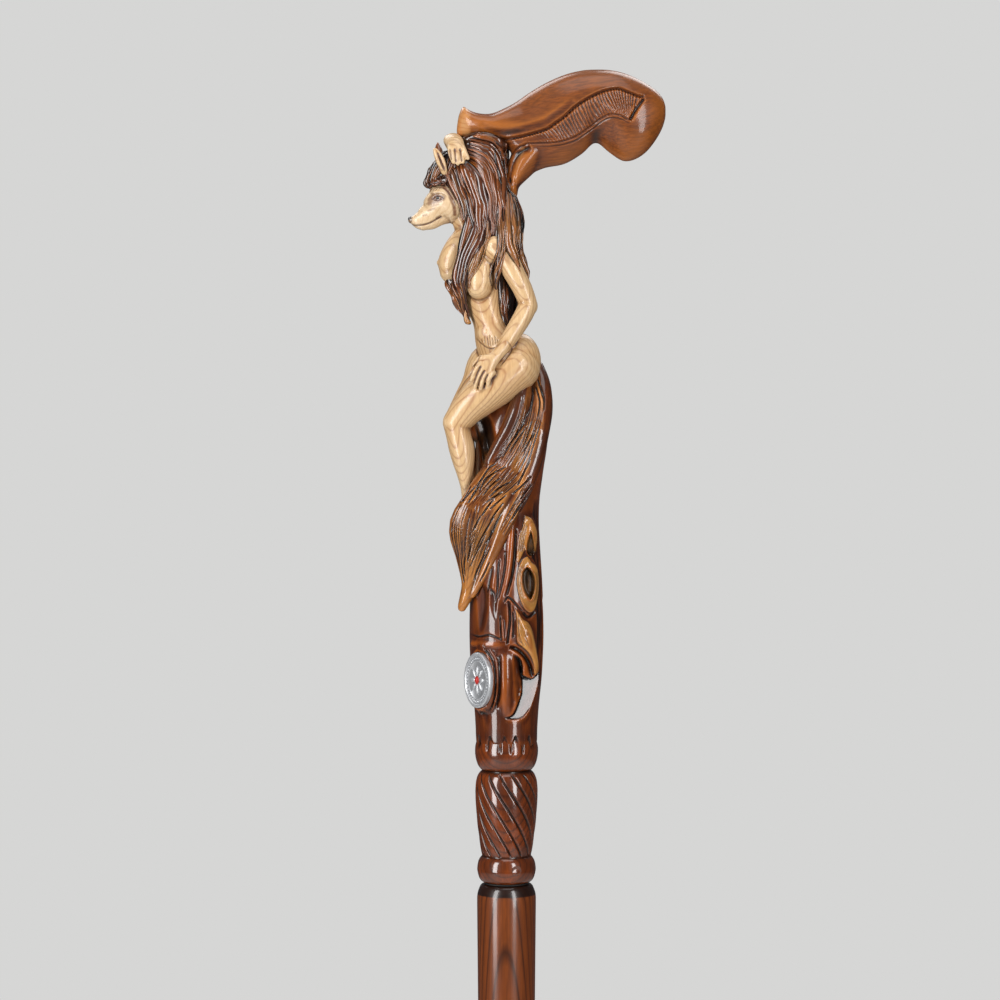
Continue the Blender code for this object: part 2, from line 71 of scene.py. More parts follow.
def curvePoint(before, start, end, after, t):
    return 0.5 * (2 * start + (end - before) * t + (2 * before - 5 * start + 4 * end - after) * t ** 2
                  + (3 * start - before - 3 * end + after) * t ** 3)


def smoothRun(points, steps):
    # rows of numbers read from a smooth curve through the given rows
    rows = np.array([points[0], *points, points[-1]], float)
    found = [curvePoint(*rows[i - 1:i + 3], k / steps) for i in range(1, len(rows) - 2) for k in range(steps)]
    return np.array(found + [rows[-1]])


def heading(spots, i):
    return (spots[min(i + 1, len(spots) - 1)] - spots[max(i - 1, 0)]).normalized()


# Clay: limbs and balls that a voxel remesh fuses into one skin

def closeLoft(clay, rings):
    # bridges the rings and caps both ends
    sides = len(rings[0])
    loops = [[clay.verts.new(p) for p in ring] for ring in rings]
    for low, high in zip(loops, loops[1:]):
        for k in range(sides):
            clay.faces.new((low[k], low[(k + 1) % sides], high[(k + 1) % sides], high[k]))
    clay.faces.new(loops[0][::-1])
    clay.faces.new(loops[-1])
    return loops


def limb(clay, points, side=(0, 1, 0), sides=16, steps=4, azimuth=photoAzimuth):
    # each point is (across, deep, up, half width[, half depth]); side is where the half width is measured
    rows = smoothRun([(*p[:4], p[-1]) for p in points], steps)
    centres = [drawn(*row[:3], azimuth) for row in rows]
    wanted = drawn(*side, azimuth).normalized()
    stations = [(centres[i], heading(centres, i), row[3] * mm, row[4] * mm) for i, row in enumerate(rows)]
    caps = []
    for (centre, along, wide, deep), outward in ((stations[0], -1), (stations[-1], 1)):
        reach = outward * min(wide, deep)
        caps.append([(centre + along * reach * math.sin(a), along, wide * math.cos(a), deep * math.cos(a))
                     for a in map(math.radians, (80, 60, 40, 20))])
    turns = [2 * math.pi * k / sides for k in range(sides)]
    rings = []
    for centre, along, wide, deep in caps[0] + stations + caps[1][::-1]:
        across = (wanted - along * wanted.dot(along)).normalized()
        through = along.cross(across)
        rings.append([centre + across * wide * math.cos(t) + through * deep * math.sin(t) for t in turns])
    return closeLoft(clay, rings)


def ball(clay, spot, size, facing=0.0, lean=0.0):
    # facing turns it about the upright, lean tips it in the picture, in degrees
    tipped = Euler((0, -math.radians(lean), 0)).to_matrix().to_4x4()
    about = Matrix.Rotation(math.radians(facing + photoAzimuth), 4, "Z")
    scale = Matrix.Diagonal((*[s * mm for s in size], 1))
    bmesh.ops.create_uvsphere(clay, u_segments=24, v_segments=14, radius=1,
                              matrix=Matrix.Translation(drawn(*spot)) @ about @ tipped @ scale)


def pieceFrom(clay, name):
    mesh = bpy.data.meshes.new(name)
    clay.to_mesh(mesh)
    clay.free()
    mesh.shade_smooth()
    piece = bpy.data.objects.new(name, mesh)
    bpy.context.scene.collection.objects.link(piece)
    return piece


def applyAll(piece):
    bpy.context.view_layer.objects.active = piece
    piece.select_set(True)
    for modifier in list(piece.modifiers):
        bpy.ops.object.modifier_apply(modifier=modifier.name)
    piece.select_set(False)


def fuse(name, clay, voxel, rounds, strength=0.5):
    bmesh.ops.recalc_face_normals(clay, faces=clay.faces)
    piece = pieceFrom(clay, name)
    skin = piece.modifiers.new("skin", "REMESH")
    skin.mode = "VOXEL"
    skin.voxel_size = voxel * mm
    soften = piece.modifiers.new("soften", "SMOOTH")
    soften.factor = strength
    soften.iterations = rounds
    applyAll(piece)
    piece.data.shade_smooth()
    return piece


# Carving: what is cut, pressed and painted on a skin along drawn lines

def pointsOf(piece, kind="co"):
    flat = np.empty(len(piece.data.vertices) * 3)
    piece.data.vertices.foreach_get(kind, flat)
    return flat.reshape(-1, 3)


def setPoints(piece, points):
    piece.data.vertices.foreach_set("co", points.ravel())
    piece.data.update()


def writeShade(piece, name, values):
    layer = piece.data.attributes.get(name) or piece.data.attributes.new(name, "FLOAT", "POINT")
    layer.data.foreach_set("value", values.astype(np.float32))


def readShade(piece, name):
    values = np.zeros(len(piece.data.vertices), np.float32)
    layer = piece.data.attributes.get(name)
    if layer:
        layer.data.foreach_get("value", values)
    return values.astype(float)


def strokeParts(stroke, width=None, depth=None):
    # a stroke is a list of points, or (width, depth, points)
    return stroke if isinstance(stroke, tuple) else (width, depth, stroke)


def gapTo(spots, start, end):
    # how far along a line each spot lies, 0 to 1, and how far off it
    step = end - start
    along = np.clip(((spots - start) @ step) / max(step @ step, 1e-9), 0, 1)
    return along, np.linalg.norm(spots - start - along[:, None] * step, axis=1)


def strokeCover(flat, stroke, width):
    # how far along and how near each flat point is to a drawn line, 0 to 1 across its half width
    line = smoothRun(stroke, 5)
    low, high = line.min(axis=0) - width, line.max(axis=0) + width
    near = np.flatnonzero(((flat >= low) & (flat <= high)).all(axis=1))
    best = np.full(len(near), np.inf)
    along = np.zeros(len(near))
    for i, (start, end) in enumerate(zip(line, line[1:])):
        part, gap = gapTo(flat[near], start, end)
        better = gap < best
        best[better] = gap[better]
        along[better] = (i + part[better]) / (len(line) - 1)
    hit = best < width
    return near[hit], along[hit], best[hit] / width


def areaCover(flat, outline, soft):
    # 0 outside a drawn closed outline, rising to 1 at soft mm inside it
    line = smoothRun([*outline, outline[0]], 5)
    low, high = line.min(axis=0), line.max(axis=0)
    near = np.flatnonzero(((flat > low) & (flat < high)).all(axis=1))
    spots = flat[near]
    inside = np.zeros(len(near), bool)
    gap = np.full(len(near), np.inf)
    for start, end in zip(line, line[1:]):
        step = end - start
        if step[1]:
            crossing = (spots[:, 1] < start[1]) != (spots[:, 1] < end[1])
            inside ^= crossing & (spots[:, 0] < start[0] + (spots[:, 1] - start[1]) * step[0] / step[1])
        gap = np.minimum(gap, gapTo(spots, start, end)[1])
    cover = np.zeros(len(flat))
    cover[near] = np.where(inside, np.clip(gap / soft, 0, 1), 0)
    return cover


def flatSight(piece, azimuth):
    # the piece's points as the eye at azimuth sees them, in mm, and how squarely each faces it
    right, towardsEye = sightAxes(azimuth)
    points = pointsOf(piece) / mm
    flat = np.column_stack([points @ np.array(right), points[:, 2]])
    return flat, pointsOf(piece, "normal") @ np.array(towardsEye)


def pushBack(piece, amount, azimuth):
    away = -sightAxes(azimuth)[1] * mm
    setPoints(piece, pointsOf(piece) + amount[:, None] * np.array(away))


def splitFaces(piece, chosen):
    # quarters the faces round the chosen points, so that what is cut there comes out crisp
    clay = bmesh.new()
    clay.from_mesh(piece.data)
    clay.verts.ensure_lookup_table()
    edges = {edge for k in np.flatnonzero(chosen) for face in clay.verts[int(k)].link_faces for edge in face.edges}
    bmesh.ops.subdivide_edges(clay, edges=list(edges), cuts=1, use_grid_fill=True)
    clay.to_mesh(piece.data)
    clay.free()


def refine(piece, strokes, reach, azimuth=photoAzimuth):
    # splits the faces within reach of drawn lines
    flat, facing = flatSight(piece, azimuth)
    near = np.zeros(len(flat), bool)
    for stroke in strokes:
        near[strokeCover(flat, strokeParts(stroke)[2], reach)[0]] = True
    splitFaces(piece, near & (facing > -0.1))


def facet(piece, outline, spot, turned, tilt, soft):
    # pares away what stands in front of a plane through spot; turned and tilt aim the plane, in degrees
    flat, facing = flatSight(piece, photoAzimuth)
    cover = areaCover(flat, outline, soft) * (facing > -0.05)
    near = pointsOf(piece) / mm @ np.array(sightAxes(photoAzimuth)[1])
    across, deep, up = spot
    slopes = [math.tan(math.radians(angle)) for angle in (turned, tilt)]
    plane = -deep - slopes[0] * (flat[:, 0] - across) - slopes[1] * (flat[:, 1] - up)
    pushBack(piece, cover * np.maximum(near - plane, 0), photoAzimuth)


def press(piece, outline, depth, soft, name, strength):
    # sinks, or raises if depth is negative, what lies within a drawn outline, and shades it
    flat, facing = flatSight(piece, photoAzimuth)
    cover = areaCover(flat, outline, soft) * (facing > -0.05)
    writeShade(piece, name, np.maximum(readShade(piece, name), np.clip(cover * 2.5, 0, 1) * strength))
    pushBack(piece, (1 - (1 - cover) ** 2) * depth, photoAzimuth)


def gouge(piece, strokes, width, depth, azimuth=photoAzimuth, taper=0.25, sharp=1.0):
    # cuts V grooves along drawn lines, or raises ridges where depth is negative; the cuts get painted shade, the deeper
    # the darker
    # cuts this deep or deeper get the full painted shade
    darkestFrom = 0.5       # mm
    flat, facing = flatSight(piece, azimuth)
    cut = np.zeros(len(flat))
    dark = readShade(piece, "groove")
    square = np.clip(facing * 3, 0, 1)
    for stroke in strokes:
        wide, deep, line = strokeParts(stroke, width, depth)
        near, along, gap = strokeCover(flat, line, wide)
        ends = np.clip(np.minimum(along, 1 - along) / taper, 0, 1) ** 0.7
        shape = (1 - gap ** sharp) * ends * square[near]
        deeper = np.abs(shape * deep) > np.abs(cut[near])
        cut[near[deeper]] = (shape * deep)[deeper]
        if deep > 0:
            dark[near] = np.maximum(dark[near], np.clip(shape, 0, 1) * min(1.0, deep / darkestFrom))
    pushBack(piece, cut, azimuth)
    writeShade(piece, "groove", dark)


def paint(piece, name, patches, azimuth=photoAzimuth, soft=0.5):
    # patches are drawn lines with a radius and a strength
    flat, facing = flatSight(piece, azimuth)
    values = readShade(piece, name)
    for stroke, radius, strength in patches:
        near, _, gap = strokeCover(flat, stroke, radius)
        seen = facing[near] > -0.1
        cover = np.clip((1 - gap[seen]) / soft, 0, 1)
        values[near[seen]] = np.maximum(values[near[seen]], cover * strength)
    writeShade(piece, name, values)


def shadeHollows(piece, rounds, scale):
    # positive in hollows and negative on ridges, from how far a blurred surface stands off the real one; the wood
    # finishes paint shade into the hollows by it
    points = pointsOf(piece)
    ends = np.empty(len(piece.data.edges) * 2, int)
    piece.data.edges.foreach_get("vertices", ends)
    a, b = ends[0::2], ends[1::2]
    count = len(points)
    links = np.bincount(a, minlength=count) + np.bincount(b, minlength=count)
    blurred = points.copy()
    for _ in range(rounds):
        total = np.column_stack([
            np.bincount(a, blurred[b, i], count) + np.bincount(b, blurred[a, i], count) for i in range(3)])
        blurred = total / links[:, None]
    stand = ((blurred - points) * pointsOf(piece, "normal")).sum(axis=1) / mm
    writeShade(piece, "hollow", np.clip(stand / scale, -1, 1))


# Locks: tapered strands laid on a surface along drawn lines

def treeOf(piece):
    return BVHTree.FromObject(piece, bpy.context.evaluated_depsgraph_get())


def surfaceAt(tree, across, up, azimuth):
    # the depth at which a line of sight meets a surface, in mm
    towardsEye = sightAxes(azimuth)[1]
    hit = tree.ray_cast(drawn(across, -200, up, azimuth), -towardsEye)[0]
    return None if hit is None else -hit.dot(towardsEye) / mm


def layOn(tree, rows, azimuth):
    # the longest unbroken run of the rows that meets the surface, with its depths
    widestStep = 3.2        # mm; a lock doesn't jump further than this
    deeps = [surfaceAt(tree, *row, azimuth) for row in rows]
    known = [i for i, deep in enumerate(deeps) if deep is not None]
    if len(known) < 4:
        return [], []
    rows = rows[known[0]:known[-1] + 1]
    deeps = np.interp(np.arange(known[0], known[-1] + 1), known, [deeps[i] for i in known])
    jumps = [0, *(np.flatnonzero(np.abs(np.diff(deeps)) > widestStep) + 1), len(deeps)]
    start, stop = max(zip(jumps, jumps[1:]), key=lambda run: run[1] - run[0])
    return rows[start:stop], deeps[start:stop]


def strand(clay, tree, line, thick, azimuth=photoAzimuth, lift=0.0, tone=0.0, flat=0.7, pale=0.0):
    # one lock, worn along its crest, with painted shade down its sides
    rows, deeps = layOn(tree, smoothRun(line, 3) if len(line) < 12 else np.array(line), azimuth)
    if len(rows) < 5:
        return
    padded = np.concatenate([[deeps[0]] * 2, deeps, [deeps[-1]] * 2])
    smooth = np.convolve(padded, [0.1, 0.2, 0.4, 0.2, 0.1], "valid")
    deeps = np.minimum(deeps, smooth) - lift
    points = []
    phase = rng.uniform(0, 6)
    for i, ((across, up), deep) in enumerate(zip(rows, deeps)):
        t = i / (len(rows) - 1)
        swell = 1 + 0.22 * math.sin(phase + 9 * t)
        girth = thick * swell * (0.1 + 0.9 * min(1.0, 0.1 + t * 5, (1.02 - t) * 3) ** 0.8)
        points.append((across, deep, up, girth, girth * flat))
    towardsEye = sightAxes(azimuth)[1]
    hollow, lines, bare = [clay.verts.layers.float[name] for name in ("hollow", "lines", "bare")]
    loops = limb(clay, points, side=(1, 0, 0), sides=8, steps=1, azimuth=azimuth)
    centres = [sum((v.co for v in loop), Vector()) / len(loop) for loop in loops]
    for i, (loop, centre) in enumerate(zip(loops, centres)):
        sideways = heading(centres, i).cross(towardsEye)
        reach = max((v.co - centre).length for v in loop)
        for v in loop:
            out = v.co - centre
            # painted shade down the lock's sides, away from the eye, and the worn colour along its crest
            v[hollow] = 1.0 + tone - 1.6 * max(0.0, out.dot(towardsEye) / reach / flat) ** 0.8
            v[lines] = phase + out.dot(sideways) / mm
            v[bare] = pale * min(1.0, 2.5 * i / len(loops))


def fan(left, right, count, stray, jitter, cut, wave=0.0):
    # lines between two drawn guides, each a little astray and cut short at random
    samples = np.linspace(0, 1, 17 if wave else 9)
    guides = []
    for guide in (left, right):
        rows = smoothRun(guide, 3)
        guides.append(np.array([np.interp(samples, np.linspace(0, 1, len(rows)), rows[:, i]) for i in range(2)]).T)
    lines = []
    for k in range(count):
        share = (k + 0.5 + rng.uniform(-jitter, jitter)) / count
        line = guides[0] + (guides[1] - guides[0]) * share
        wander = np.interp(samples, np.linspace(0, 1, 5), np.cumsum([0, *rng.normal(0, stray / 2, 4)]))
        line[:, 0] += wander + wave * samples * np.sin(line[:, 1] / 2.6 + 0.35 * k)
        ends = np.linspace(rng.uniform(0, cut[0]), 1 - rng.uniform(0, cut[1]), len(samples))
        lines.append(np.array([np.interp(ends, samples, line[:, i]) for i in range(2)]).T)
    return lines


def bundle(clay, tree, left, right, count, thick, azimuth=photoAzimuth, lift=0.0, pale=0.0, tone=0.0):
    # broad wavy locks, with thin ones among them
    for line in fan(left, right, count, 0.7, 0.25, (0.04, 0.2), 0.8):
        girth = thick * rng.choice([0.8, 1.1, 1.4, 1.8])
        strand(clay, tree, line, girth, azimuth, lift + rng.uniform(-0.2, 0.4), tone + rng.normal(0.2, 0.42), 0.55,
               pale * rng.uniform(0.6, 1.2))
    for line in fan(left, right, count // 2, 0.7, 0.5, (0.25, 0.3), 0.8):
        strand(clay, tree, line, thick * 0.5, azimuth, lift + 0.5 + rng.uniform(-0.1, 0.4),
               tone + rng.uniform(-0.4, 0.1), 1.0, min(1.0, pale + rng.uniform(0, 0.3)))


def comb(left, right, count, width, depth):
    # uneven cuts between two drawn guides, for gouge
    return [(width * rng.uniform(0.75, 1.2), depth * rng.uniform(0.6, 1.2), line)
            for line in fan(left, right, count, 0.3, 0.3, (0.25, 0.25))]


def place(piece, body, nodes, material):
    piece.data.materials.clear()
    piece.data.materials.append(material)
    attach(piece, body)
    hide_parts(*nodes)
    print("made", piece.name, sum(len(face.vertices) - 2 for face in piece.data.polygons), "triangles")


def placeCarved(piece, material):
    place(piece, "head", ["carved_block"], material)


# Materials

def addNode(tree, kind, settings=None, inputs=None):
    node = tree.nodes.new("ShaderNode" + kind)
    for key, value in (settings or {}).items():
        setattr(node, key, value)
    for key, value in (inputs or {}).items():
        if isinstance(value, bpy.types.NodeSocket):
            tree.links.new(value, node.inputs[key])
        else:
            node.inputs[key].default_value = value
    return node


def maths(tree, operation, a, b=0.0, c=0.0, clamp=False):
    return addNode(tree, "Math", {"operation": operation, "use_clamp": clamp}, {0: a, 1: b, 2: c}).outputs[0]


def mixColour(tree, share, a, b):
    return addNode(tree, "Mix", {"data_type": "RGBA"}, {0: share, 6: a, 7: b}).outputs[2]


def shadeNode(tree, name):
    return addNode(tree, "Attribute", {"attribute_name": name}).outputs["Fac"]


def ramp(tree, value, stops):
    node = addNode(tree, "ValToRGB", None, {0: value})
    band = node.color_ramp
    while len(band.elements) < len(stops):
        band.elements.new(0.5)
    for element, (position, level) in zip(band.elements, stops):
        element.position = position
        element.color = (level, level, level, 1)
    return node.outputs[0]


def srgb(red, green, blue):
    # a colour as it looks on screen, 0 to 255, as the shader wants it
    linear = [c / 255 / 12.92 if c <= 10 else ((c / 255 + 0.055) / 1.055) ** 2.4 for c in (red, green, blue)]
    return (*linear, 1)


def newShader(name, look):
    material = bpy.data.materials.new(name)
    material.use_nodes = True
    shader = material.node_tree.nodes["Principled BSDF"]
    shader.inputs["Roughness"].default_value = look["roughness"]
    shader.inputs["Metallic"].default_value = look.get("metallic", 0.0)
    shader.inputs["Coat Weight"].default_value = look.get("coat", 0.0)
    shader.inputs["Coat Roughness"].default_value = look.get("coatRoughness", 0.1)
    shader.inputs["Coat IOR"].default_value = look.get("coatIor", 1.7)
    shader.inputs["Specular IOR Level"].default_value = look.get("specular", 0.5)
    return material, material.node_tree, shader


def noiseAt(tree, vector, size, stretch=(1, 1, 1), detail=3.0, rough=0.5):
    # size is the width of one blotch in mm
    scaled = addNode(tree, "Mapping", {"vector_type": "POINT"}, {0: vector, 3: stretch}).outputs[0]
    node = addNode(tree, "TexNoise", None,
                   {"Vector": scaled, "Scale": 1000 / size, "Detail": detail, "Roughness": rough})
    return node.outputs["Fac"]


def addBump(tree, shader, strength, distance, height):
    bump = addNode(tree, "Bump", None, {"Strength": strength, "Distance": distance * mm, "Height": height})
    tree.links.new(bump.outputs[0], shader.inputs["Normal"])


# widths in mm, and how much the blotches roughen the gloss
grainShape = {"sway": 26, "fibre": 0.9, "pore": 0.5, "blotch": 14, "roughSpread": 0.12}
# a year's ring, from the dark line of late wood to the next
ringProfile = [(0.0, 1.0), (0.07, 0.75), (0.18, 0.2), (0.5, 0.03), (0.86, 0.18), (1.0, 1.0)]


def woodMaterial(name, look):
    # growth rings about a pith line, pores along the grain, painted shade in the hollows and cuts, and wear on the
    # ridges
    material, tree, shader = newShader(name, look)
    wood, ring, dark = [srgb(*look[key]) for key in ("wood", "ring", "dark")]
    seat = addNode(tree, "TexCoord").outputs["Object"]
    lean = drawn(*look["along"]).to_track_quat("Z", "Y").to_euler()
    grain = addNode(tree, "Mapping", {"vector_type": "TEXTURE"},
                    {0: seat, 1: drawn(*look["pith"]), 2: lean}).outputs[0]
    axes = addNode(tree, "SeparateXYZ", None, {0: grain}).outputs
    flat = addNode(tree, "CombineXYZ", None, {0: axes[0], 1: axes[1]}).outputs[0]
    away = addNode(tree, "VectorMath", {"operation": "LENGTH"}, {0: flat}).outputs["Value"]
    sway = noiseAt(tree, grain, grainShape["sway"], (1, 1, 0.4), 2.0)
    swayed = maths(tree, "MULTIPLY_ADD", sway, look["sway"] * 2 * mm, away)
    ringPlace = maths(tree, "FRACT", maths(tree, "DIVIDE", swayed, look["ringGap"] * mm))
    ringLine = ramp(tree, ringPlace, ringProfile)
    fibre = noiseAt(tree, grain, grainShape["fibre"], (1, 1, 0.025), 3.0, 0.6)
    pores = ramp(tree, noiseAt(tree, grain, grainShape["pore"], (1, 1, 0.04), 2.0, 0.6), [(0.0, 1.0), (0.40, 0.0)])
    blotch = noiseAt(tree, seat, look.get("blotchSize", grainShape["blotch"]), (1, 1, 0.5), 3.0)

    lineShare = maths(tree, "MULTIPLY", ringLine, look["ringStrength"])
    fibreLine = ramp(tree, fibre, [(0.42, 0.0), (0.62, 1.0)])
    poreShare = maths(tree, "MULTIPLY", pores, maths(tree, "MULTIPLY_ADD", ringLine, look["pores"], 0.5))
    blotchShare = ramp(tree, blotch, [(0.35, 0.0), (0.7, 1.0)])
    colour = mixColour(tree, lineShare, wood, ring)
    colour = mixColour(tree, maths(tree, "MULTIPLY", fibreLine, look["fibre"]), colour, ring)
    colour = mixColour(tree, poreShare, colour, srgb(*look["pore"]))
    colour = mixColour(tree, maths(tree, "MULTIPLY", blotchShare, look["blotch"]), colour, srgb(*look["stain"]))

    if "second" in look:
        otherWood, otherRing = [srgb(*look["second"][key]) for key in ("wood", "ring")]
        otherColour = mixColour(tree, lineShare, otherWood, otherRing)
        otherColour = mixColour(tree, poreShare, otherColour, otherRing)
        colour = mixColour(tree, shadeNode(tree, "second"), colour, otherColour)

    if "bare" in look:
        bareColour = mixColour(tree, lineShare, srgb(*look["bare"]), wood)
        colour = mixColour(tree, shadeNode(tree, "bare"), colour, bareColour)
        floor, streak = look.get("hole", (look["wood"], look["ring"]))
        holeColour = mixColour(tree, fibreLine, srgb(*floor), srgb(*streak))
        colour = mixColour(tree, shadeNode(tree, "hole"), colour, holeColour)

    if "dull" in look:
        coat = maths(tree, "MULTIPLY_ADD", shadeNode(tree, look["dull"]), -0.9 * look["coat"], look["coat"])
        tree.links.new(coat, shader.inputs["Coat Weight"])

    # painted shade in the hollows, and the worn colour on the ridges
    hollow = shadeNode(tree, "hollow")
    hollowShade = maths(tree, "MULTIPLY", maths(tree, "MAXIMUM", hollow, 0.0), look["hollow"], clamp=True)
    onRidge = maths(tree, "MULTIPLY", maths(tree, "MULTIPLY", hollow, -1.0), look["ridge"], clamp=True)
    colour = mixColour(tree, onRidge, colour, srgb(*look["worn"]))
    height = maths(tree, "ADD", maths(tree, "MULTIPLY", fibre, 0.5), maths(tree, "MULTIPLY", pores, -0.8))
    # fine carved lines on the locks, drawn dark as painted shade and sunk by the bump
    if "lineGap" in look:
        wave = maths(tree, "SINE", maths(tree, "MULTIPLY", shadeNode(tree, "lines"), 2 * math.pi / look["lineGap"]))
        cut = ramp(tree, wave, [(0.3, 0.0), (0.95, 1.0)])
        colour = mixColour(tree, maths(tree, "MULTIPLY", cut, look["lineStrength"]), colour, dark)
        height = maths(tree, "ADD", height, maths(tree, "MULTIPLY", cut, -0.9))
    colour = mixColour(tree, hollowShade, colour, dark)
    # painted shade in the cuts, and the black stain on the shaft's top edge
    grooveShadeAndStain = maths(tree, "MULTIPLY", shadeNode(tree, "groove"), look["groove"], clamp=True)
    colour = mixColour(tree, grooveShadeAndStain, colour, dark)
    tree.links.new(colour, shader.inputs["Base Color"])

    rough = maths(tree, "MULTIPLY_ADD", blotch, grainShape["roughSpread"], look["roughness"])
    tree.links.new(rough, shader.inputs["Roughness"])
    addBump(tree, shader, look["bump"], 0.2, height)
    return material


def plainMaterial(name, look):
    # one colour with a faint mottle, for paint, rubber and metal
    material, tree, shader = newShader(name, look)
    seat = addNode(tree, "TexCoord").outputs["Object"]
    other = look.get("other", [c * 0.8 for c in look["colour"]])
    colour = mixColour(tree, noiseAt(tree, seat, 6, detail=4.0), srgb(*look["colour"]), srgb(*other))
    if "enamel" in look:
        enamel = shadeNode(tree, "second")
        colour = mixColour(tree, shadeNode(tree, "hollow"), colour, srgb(*look["recess"]))
        colour = mixColour(tree, enamel, colour, srgb(*look["enamel"]))
        metal = maths(tree, "MULTIPLY", maths(tree, "SUBTRACT", 1.0, enamel), look["metallic"])
        tree.links.new(metal, shader.inputs["Metallic"])
    tree.links.new(colour, shader.inputs["Base Color"])
    addBump(tree, shader, look.get("bump", 0.1), 0.1, noiseAt(tree, seat, 0.6))
    return material


# The seated figure

figureLook = {
    "wood": (218, 180, 128), "ring": (152, 92, 44), "pore": (134, 84, 42), "stain": (186, 136, 82),
    "dark": (74, 34, 12), "worn": (240, 214, 172),
    "second": {"wood": (120, 72, 36), "ring": (78, 42, 20)},
    "pith": (14, 74, 770), "along": (-0.05, 0.07, 1), "ringGap": 1.4, "sway": 1.0, "ringStrength": 0.95,
    "pores": 0.4, "fibre": 0.28, "blotch": 0.35, "hollow": 1.1, "ridge": 0.5, "groove": 0.85,
    "roughness": 0.4, "coat": 0.4, "coatRoughness": 0.2, "bump": 0.3,
}

figureShape = {"voxel": 0.58}


def torso(clay):
    shoulders = (0.68, -0.74, 0.12)
    limb(clay, [(-18, 2, 834, 9, 8), (-16, 1.5, 827, 14.5, 9), (-15, 1, 816, 15, 10), (-13, 0, 803, 11.8, 9.2),
                (-9.2, 0, 791, 8.8, 8), (-6, 0, 780, 11.6, 9), (0, 0, 768, 14, 12)], side=shoulders, sides=28)
    limb(clay, [(-19, 2, 832, 8), (-20.5, 1, 839, 6.6), (-24, 0, 848, 6.6)])
    limb(clay, [(-10, -6.5, 828, 5.5), (-12, -8.4, 819, 6), (-13.6, -9.4, 810.6, 7), (-14, -9.6, 807, 6.4)], sides=24)
    limb(clay, [(-18, 0, 847, 5.4), (-20.4, 0, 836.6, 5.8), (-24.4, 0, 828, 7.4), (-28, 0, 820.6, 7.4),
                (-28.4, 0, 815.8, 6.2)], sides=24)
    ball(clay, (-34.6, 0, 820.4), (1.6, 1.6, 1.6))
    ball(clay, (-6, -9.5, 825), (7.5, 6.5, 8.5))
    ball(clay, (-8, -3, 784), (7.4, 5.6, 8))
    ball(clay, (6, -6, 769), (11.8, 10.5, 14.8))
    ball(clay, (0, 8, 770), (12.5, 10, 14))


def legs(clay):
    limb(clay, [(5, -7, 766, 12.5), (-4, -8.5, 758.5, 11.8), (-13, -9.5, 751, 10.3), (-20, -9.5, 744.4, 8.6),
                (-25.6, -9, 737.6, 7.2)], sides=24)
    limb(clay, [(-25.6, -9, 737.4, 7.2), (-24.8, -9, 731.5, 6.4), (-23, -9, 724, 6.6), (-22, -9, 717, 5.6),
                (-21.2, -8.6, 710, 4), (-20.4, -8, 704, 3.2), (-19.8, -7, 698, 3.2)], sides=20)
    ball(clay, (-28.4, -10.5, 736.5), (4, 4.2, 5.2), lean=25)
    limb(clay, [(-3, 7, 772, 11), (-10, 9, 768, 10.3), (-14, 9, 758, 9.4), (-19.5, 8, 749, 8.2), (-24.5, 6, 741, 7)],
         sides=22)
    limb(clay, [(-24.5, 6, 740, 7), (-22.5, 7, 726, 6.2), (-20.5, 7, 714, 5.4), (-19, 7, 704, 4.2)], sides=18)


def nearArm(clay):
    limb(clay, [(-5.5, -11, 827, 7), (0, -13, 821, 6), (4, -13.8, 813.5, 5.5), (8, -14, 806, 5.1),
                (10.8, -13.2, 799, 4.7)], sides=20)
    ball(clay, (11.6, -12.8, 797), (4.4, 4.4, 5))
    limb(clay, [(11, -13, 797.5, 4.9), (8.8, -14.4, 792.5, 4.9), (4.5, -16.2, 785, 4.6), (-0.5, -18, 777.3, 3.8),
                (-5, -19.4, 771.3, 3)], sides=20)


def nearHand(clay):
    limb(clay, [(-4.6, -19.6, 771.8, 3, 2.6), (-8.2, -21, 768, 3.8, 2.3), (-10.8, -21.2, 764.4, 4.6, 2.1)],
         side=(0.72, 0, -0.69))
    knuckles = [(-13.9, 766.4), (-12.2, 764.2), (-10.2, 762.4), (-8.2, 761)]
    tips = [(-18.1, 758.4), (-16.3, 754.8), (-13.4, 754.3), (-9.6, 755.6)]
    for k, (knuckle, tip) in enumerate(zip(knuckles, tips)):
        middle = (0.5 * (knuckle[0] + tip[0]) - 0.3, 0.5 * (knuckle[1] + tip[1]) + 0.4)
        limb(clay, [(knuckle[0] + 1.6, -21, knuckle[1] + 1.6, 1.3), (*atDepth(knuckle, -21.9), 1.45),
                    (*atDepth(middle, -22 + 0.2 * k), 1.25), (*atDepth(tip, -20.6 + 0.2 * k), 0.95)], sides=10)
    limb(clay, [(-9, -21, 770.4, 1.6), (-13.6, -20.2, 769.6, 1.5), (-16.8, -18.6, 766.4, 1.1)], sides=10)


def farArm(clay):
    limb(clay, [(-10, 5, 818, 6), (-14, 8.6, 826, 7.4), (-17, 12, 834, 6.4), (-18, 15.6, 844, 5.2),
                (-18.4, 19, 852, 4.9), (-18.6, 20.5, 858, 4.8)], sides=20)
    ball(clay, (-18.6, 20.8, 859), (4.8, 5, 5.4))
    limb(clay, [(-18.6, 20.5, 858, 4.9), (-20.6, 18.4, 864, 4.9), (-23.6, 14.4, 872, 4.1), (-26.5, 10, 879, 3.5)],
         sides=20)


